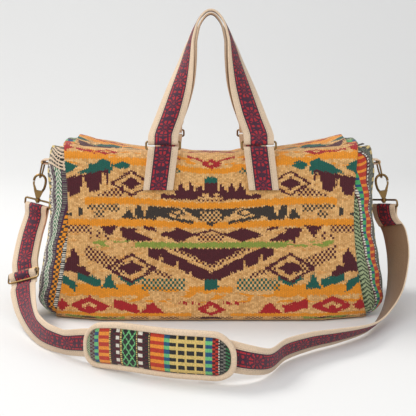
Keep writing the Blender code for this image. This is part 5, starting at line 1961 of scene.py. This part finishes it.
@dataclass(frozen=True)
class Studio:
    """Pale floor and backdrop, soft light, and the camera."""

    eye: tuple[float, float, float] = (-0.0045, -1.615, 0.408)
    tilt: float = 8.91
    focal_share: float = 1006.0 / 416.0

    def backdrop(self) -> None:
        """Build the floor with its curved backdrop."""
        loom = Loom("studio_paper")
        place = loom.place()
        tone = loom.cloud(place, 0.8, 1.0)
        colour = loom.mix(tone, (0.78, 0.78, 0.775), (0.83, 0.83, 0.82))
        shade = loom.dress(colour, 0.9, tone, 0.01)
        profile = [(-6.0, -0.0005), (1.6, -0.0005)]
        profile += [(1.6 + 1.6 * math.sin(a), 1.6 - 1.6 * math.cos(a) - 0.0005)
                    for a in (math.radians(d) for d in range(6, 91, 6))]
        profile += [(3.2, 6.0)]
        rows = [[Vector((x, y, z)) * 1000.0 for y, z in profile] for x in (-8.0, 8.0)]
        marks = [[(0.0, 0.0)] * len(profile)] * 2
        obj = grid_object("studio_floor", rows, marks, [shade])

    def lamp(self, name: str, place: tuple[float, float, float], size: float, power: float,
             colour: Colour) -> None:
        """Hang a soft area lamp aimed at the bag.

        Args:
            name: The lamp's name.
            place: Where it hangs.
            size: Its side.
            power: Watts.
            colour: Its colour.
        """
        data = bpy.data.lights.new(name, "AREA")
        data.size = size
        data.energy = power
        data.color = colour
        lamp = bpy.data.objects.new(name, data)
        lamp.location = place
        aim = Vector((0.0, -0.1, 0.12)) - Vector(place)
        lamp.rotation_mode = "QUATERNION"
        lamp.rotation_quaternion = aim.to_track_quat("-Z", "Y")
        bpy.context.scene.collection.objects.link(lamp)

    def sky(self) -> None:
        """Set the even light all round."""
        world = bpy.data.worlds.new("studio_air")
        world.use_nodes = True
        nodes = world.node_tree.nodes
        nodes["Background"].inputs[0].default_value = (0.97, 0.98, 1.0, 1.0)
        nodes["Background"].inputs[1].default_value = 0.62
        bpy.context.scene.world = world

    def camera(self) -> None:
        """Set the camera where the photograph was taken."""
        data = bpy.data.cameras.new("view")
        data.sensor_width = 36.0
        data.lens = 36.0 * self.focal_share
        camera = bpy.data.objects.new("view", data)
        camera.location = self.eye
        camera.rotation_euler = (math.radians(90.0 - self.tilt), 0.0, 0.0)
        bpy.context.scene.collection.objects.link(camera)
        bpy.context.scene.camera = camera

    def build(self) -> None:
        """Build the studio."""
        self.backdrop()
        self.lamp("window_key", (-1.7, 0.7, 2.3), 1.1, 46.0, (1.0, 0.98, 0.95))
        self.lamp("front_fill", (-0.9, -2.6, 1.9), 2.2, 36.0, (1.0, 1.0, 1.0))
        self.lamp("right_fill", (2.2, -1.2, 1.2), 1.6, 9.0, (0.95, 0.97, 1.0))
        self.sky()
        self.camera()
        bpy.context.scene.view_settings.view_transform = "Standard"


def dress_nodes(finishes: dict[str, bpy.types.Material]) -> None:
    """Give every CAD node that stays its own finish.

    Args:
        finishes: Material for each of the record's slots.
    """
    slots = {row["node"]: row["material_slot"] for row in frame["record"]["subparts"]}
    for name, node in frame["nodes"].items():
        if node.hide_render:
            continue
        node.data.materials.clear()
        node.data.materials.append(finishes[slots[name]])
        log.info("CAD node %s keeps its shape in %s", name, slots[name])


def main() -> None:
    """Dress the whole bag and light it."""
    logging.basicConfig(level=logging.INFO, format="%(message)s")
    bronze = AgedBronze().material()
    canvas = CanvasFinish("cream_canvas", Yarn.CREAM, Yarn.STRAP_BACK).material()
    # The webbing's back face: cream canvas painted in shade, as a darker brown copy of the canvas.
    back = CanvasFinish("strap_back_painted_shade", Yarn.STRAP_BACK, Yarn.CHARCOAL).material()
    band = BandWebbing().material()
    tape = DarkTape().material()
    webbing = Webbing(band, canvas, back)
    left_end = StripedCloth("left_end_stripes", LEFT_STRIPES, cap=CORNER_STRIPE).material()
    right_end = StripedCloth("right_end_stripes", RIGHT_STRIPES).material()
    BagBody(WovenFront().material(), left_end, right_end).build()
    Carry("front", -1, FRONT_BAR, webbing, bronze).build()
    Carry("rear", 1, REAR_BAR, webbing, bronze).build()
    for name, side in (("left", -1), ("right", 1)):
        SideLoop(side, name, webbing, bronze).build()
    ShoulderStrap(webbing, StripedCloth("pad_stripes", PAD_STRIPES, 1.2).material()).build()
    ZipTeeth(bronze).build()
    dress_nodes({
        "woven_textile": canvas,
        "striped_textile": canvas,
        "dark_cloth": tape,
        "banded_webbing": canvas,
        "cream_canvas": canvas,
        "board": StiffBoard().material(),
        "aged_bronze": bronze,
    })
    Studio().build()


if __name__ == "__main__":
    main()
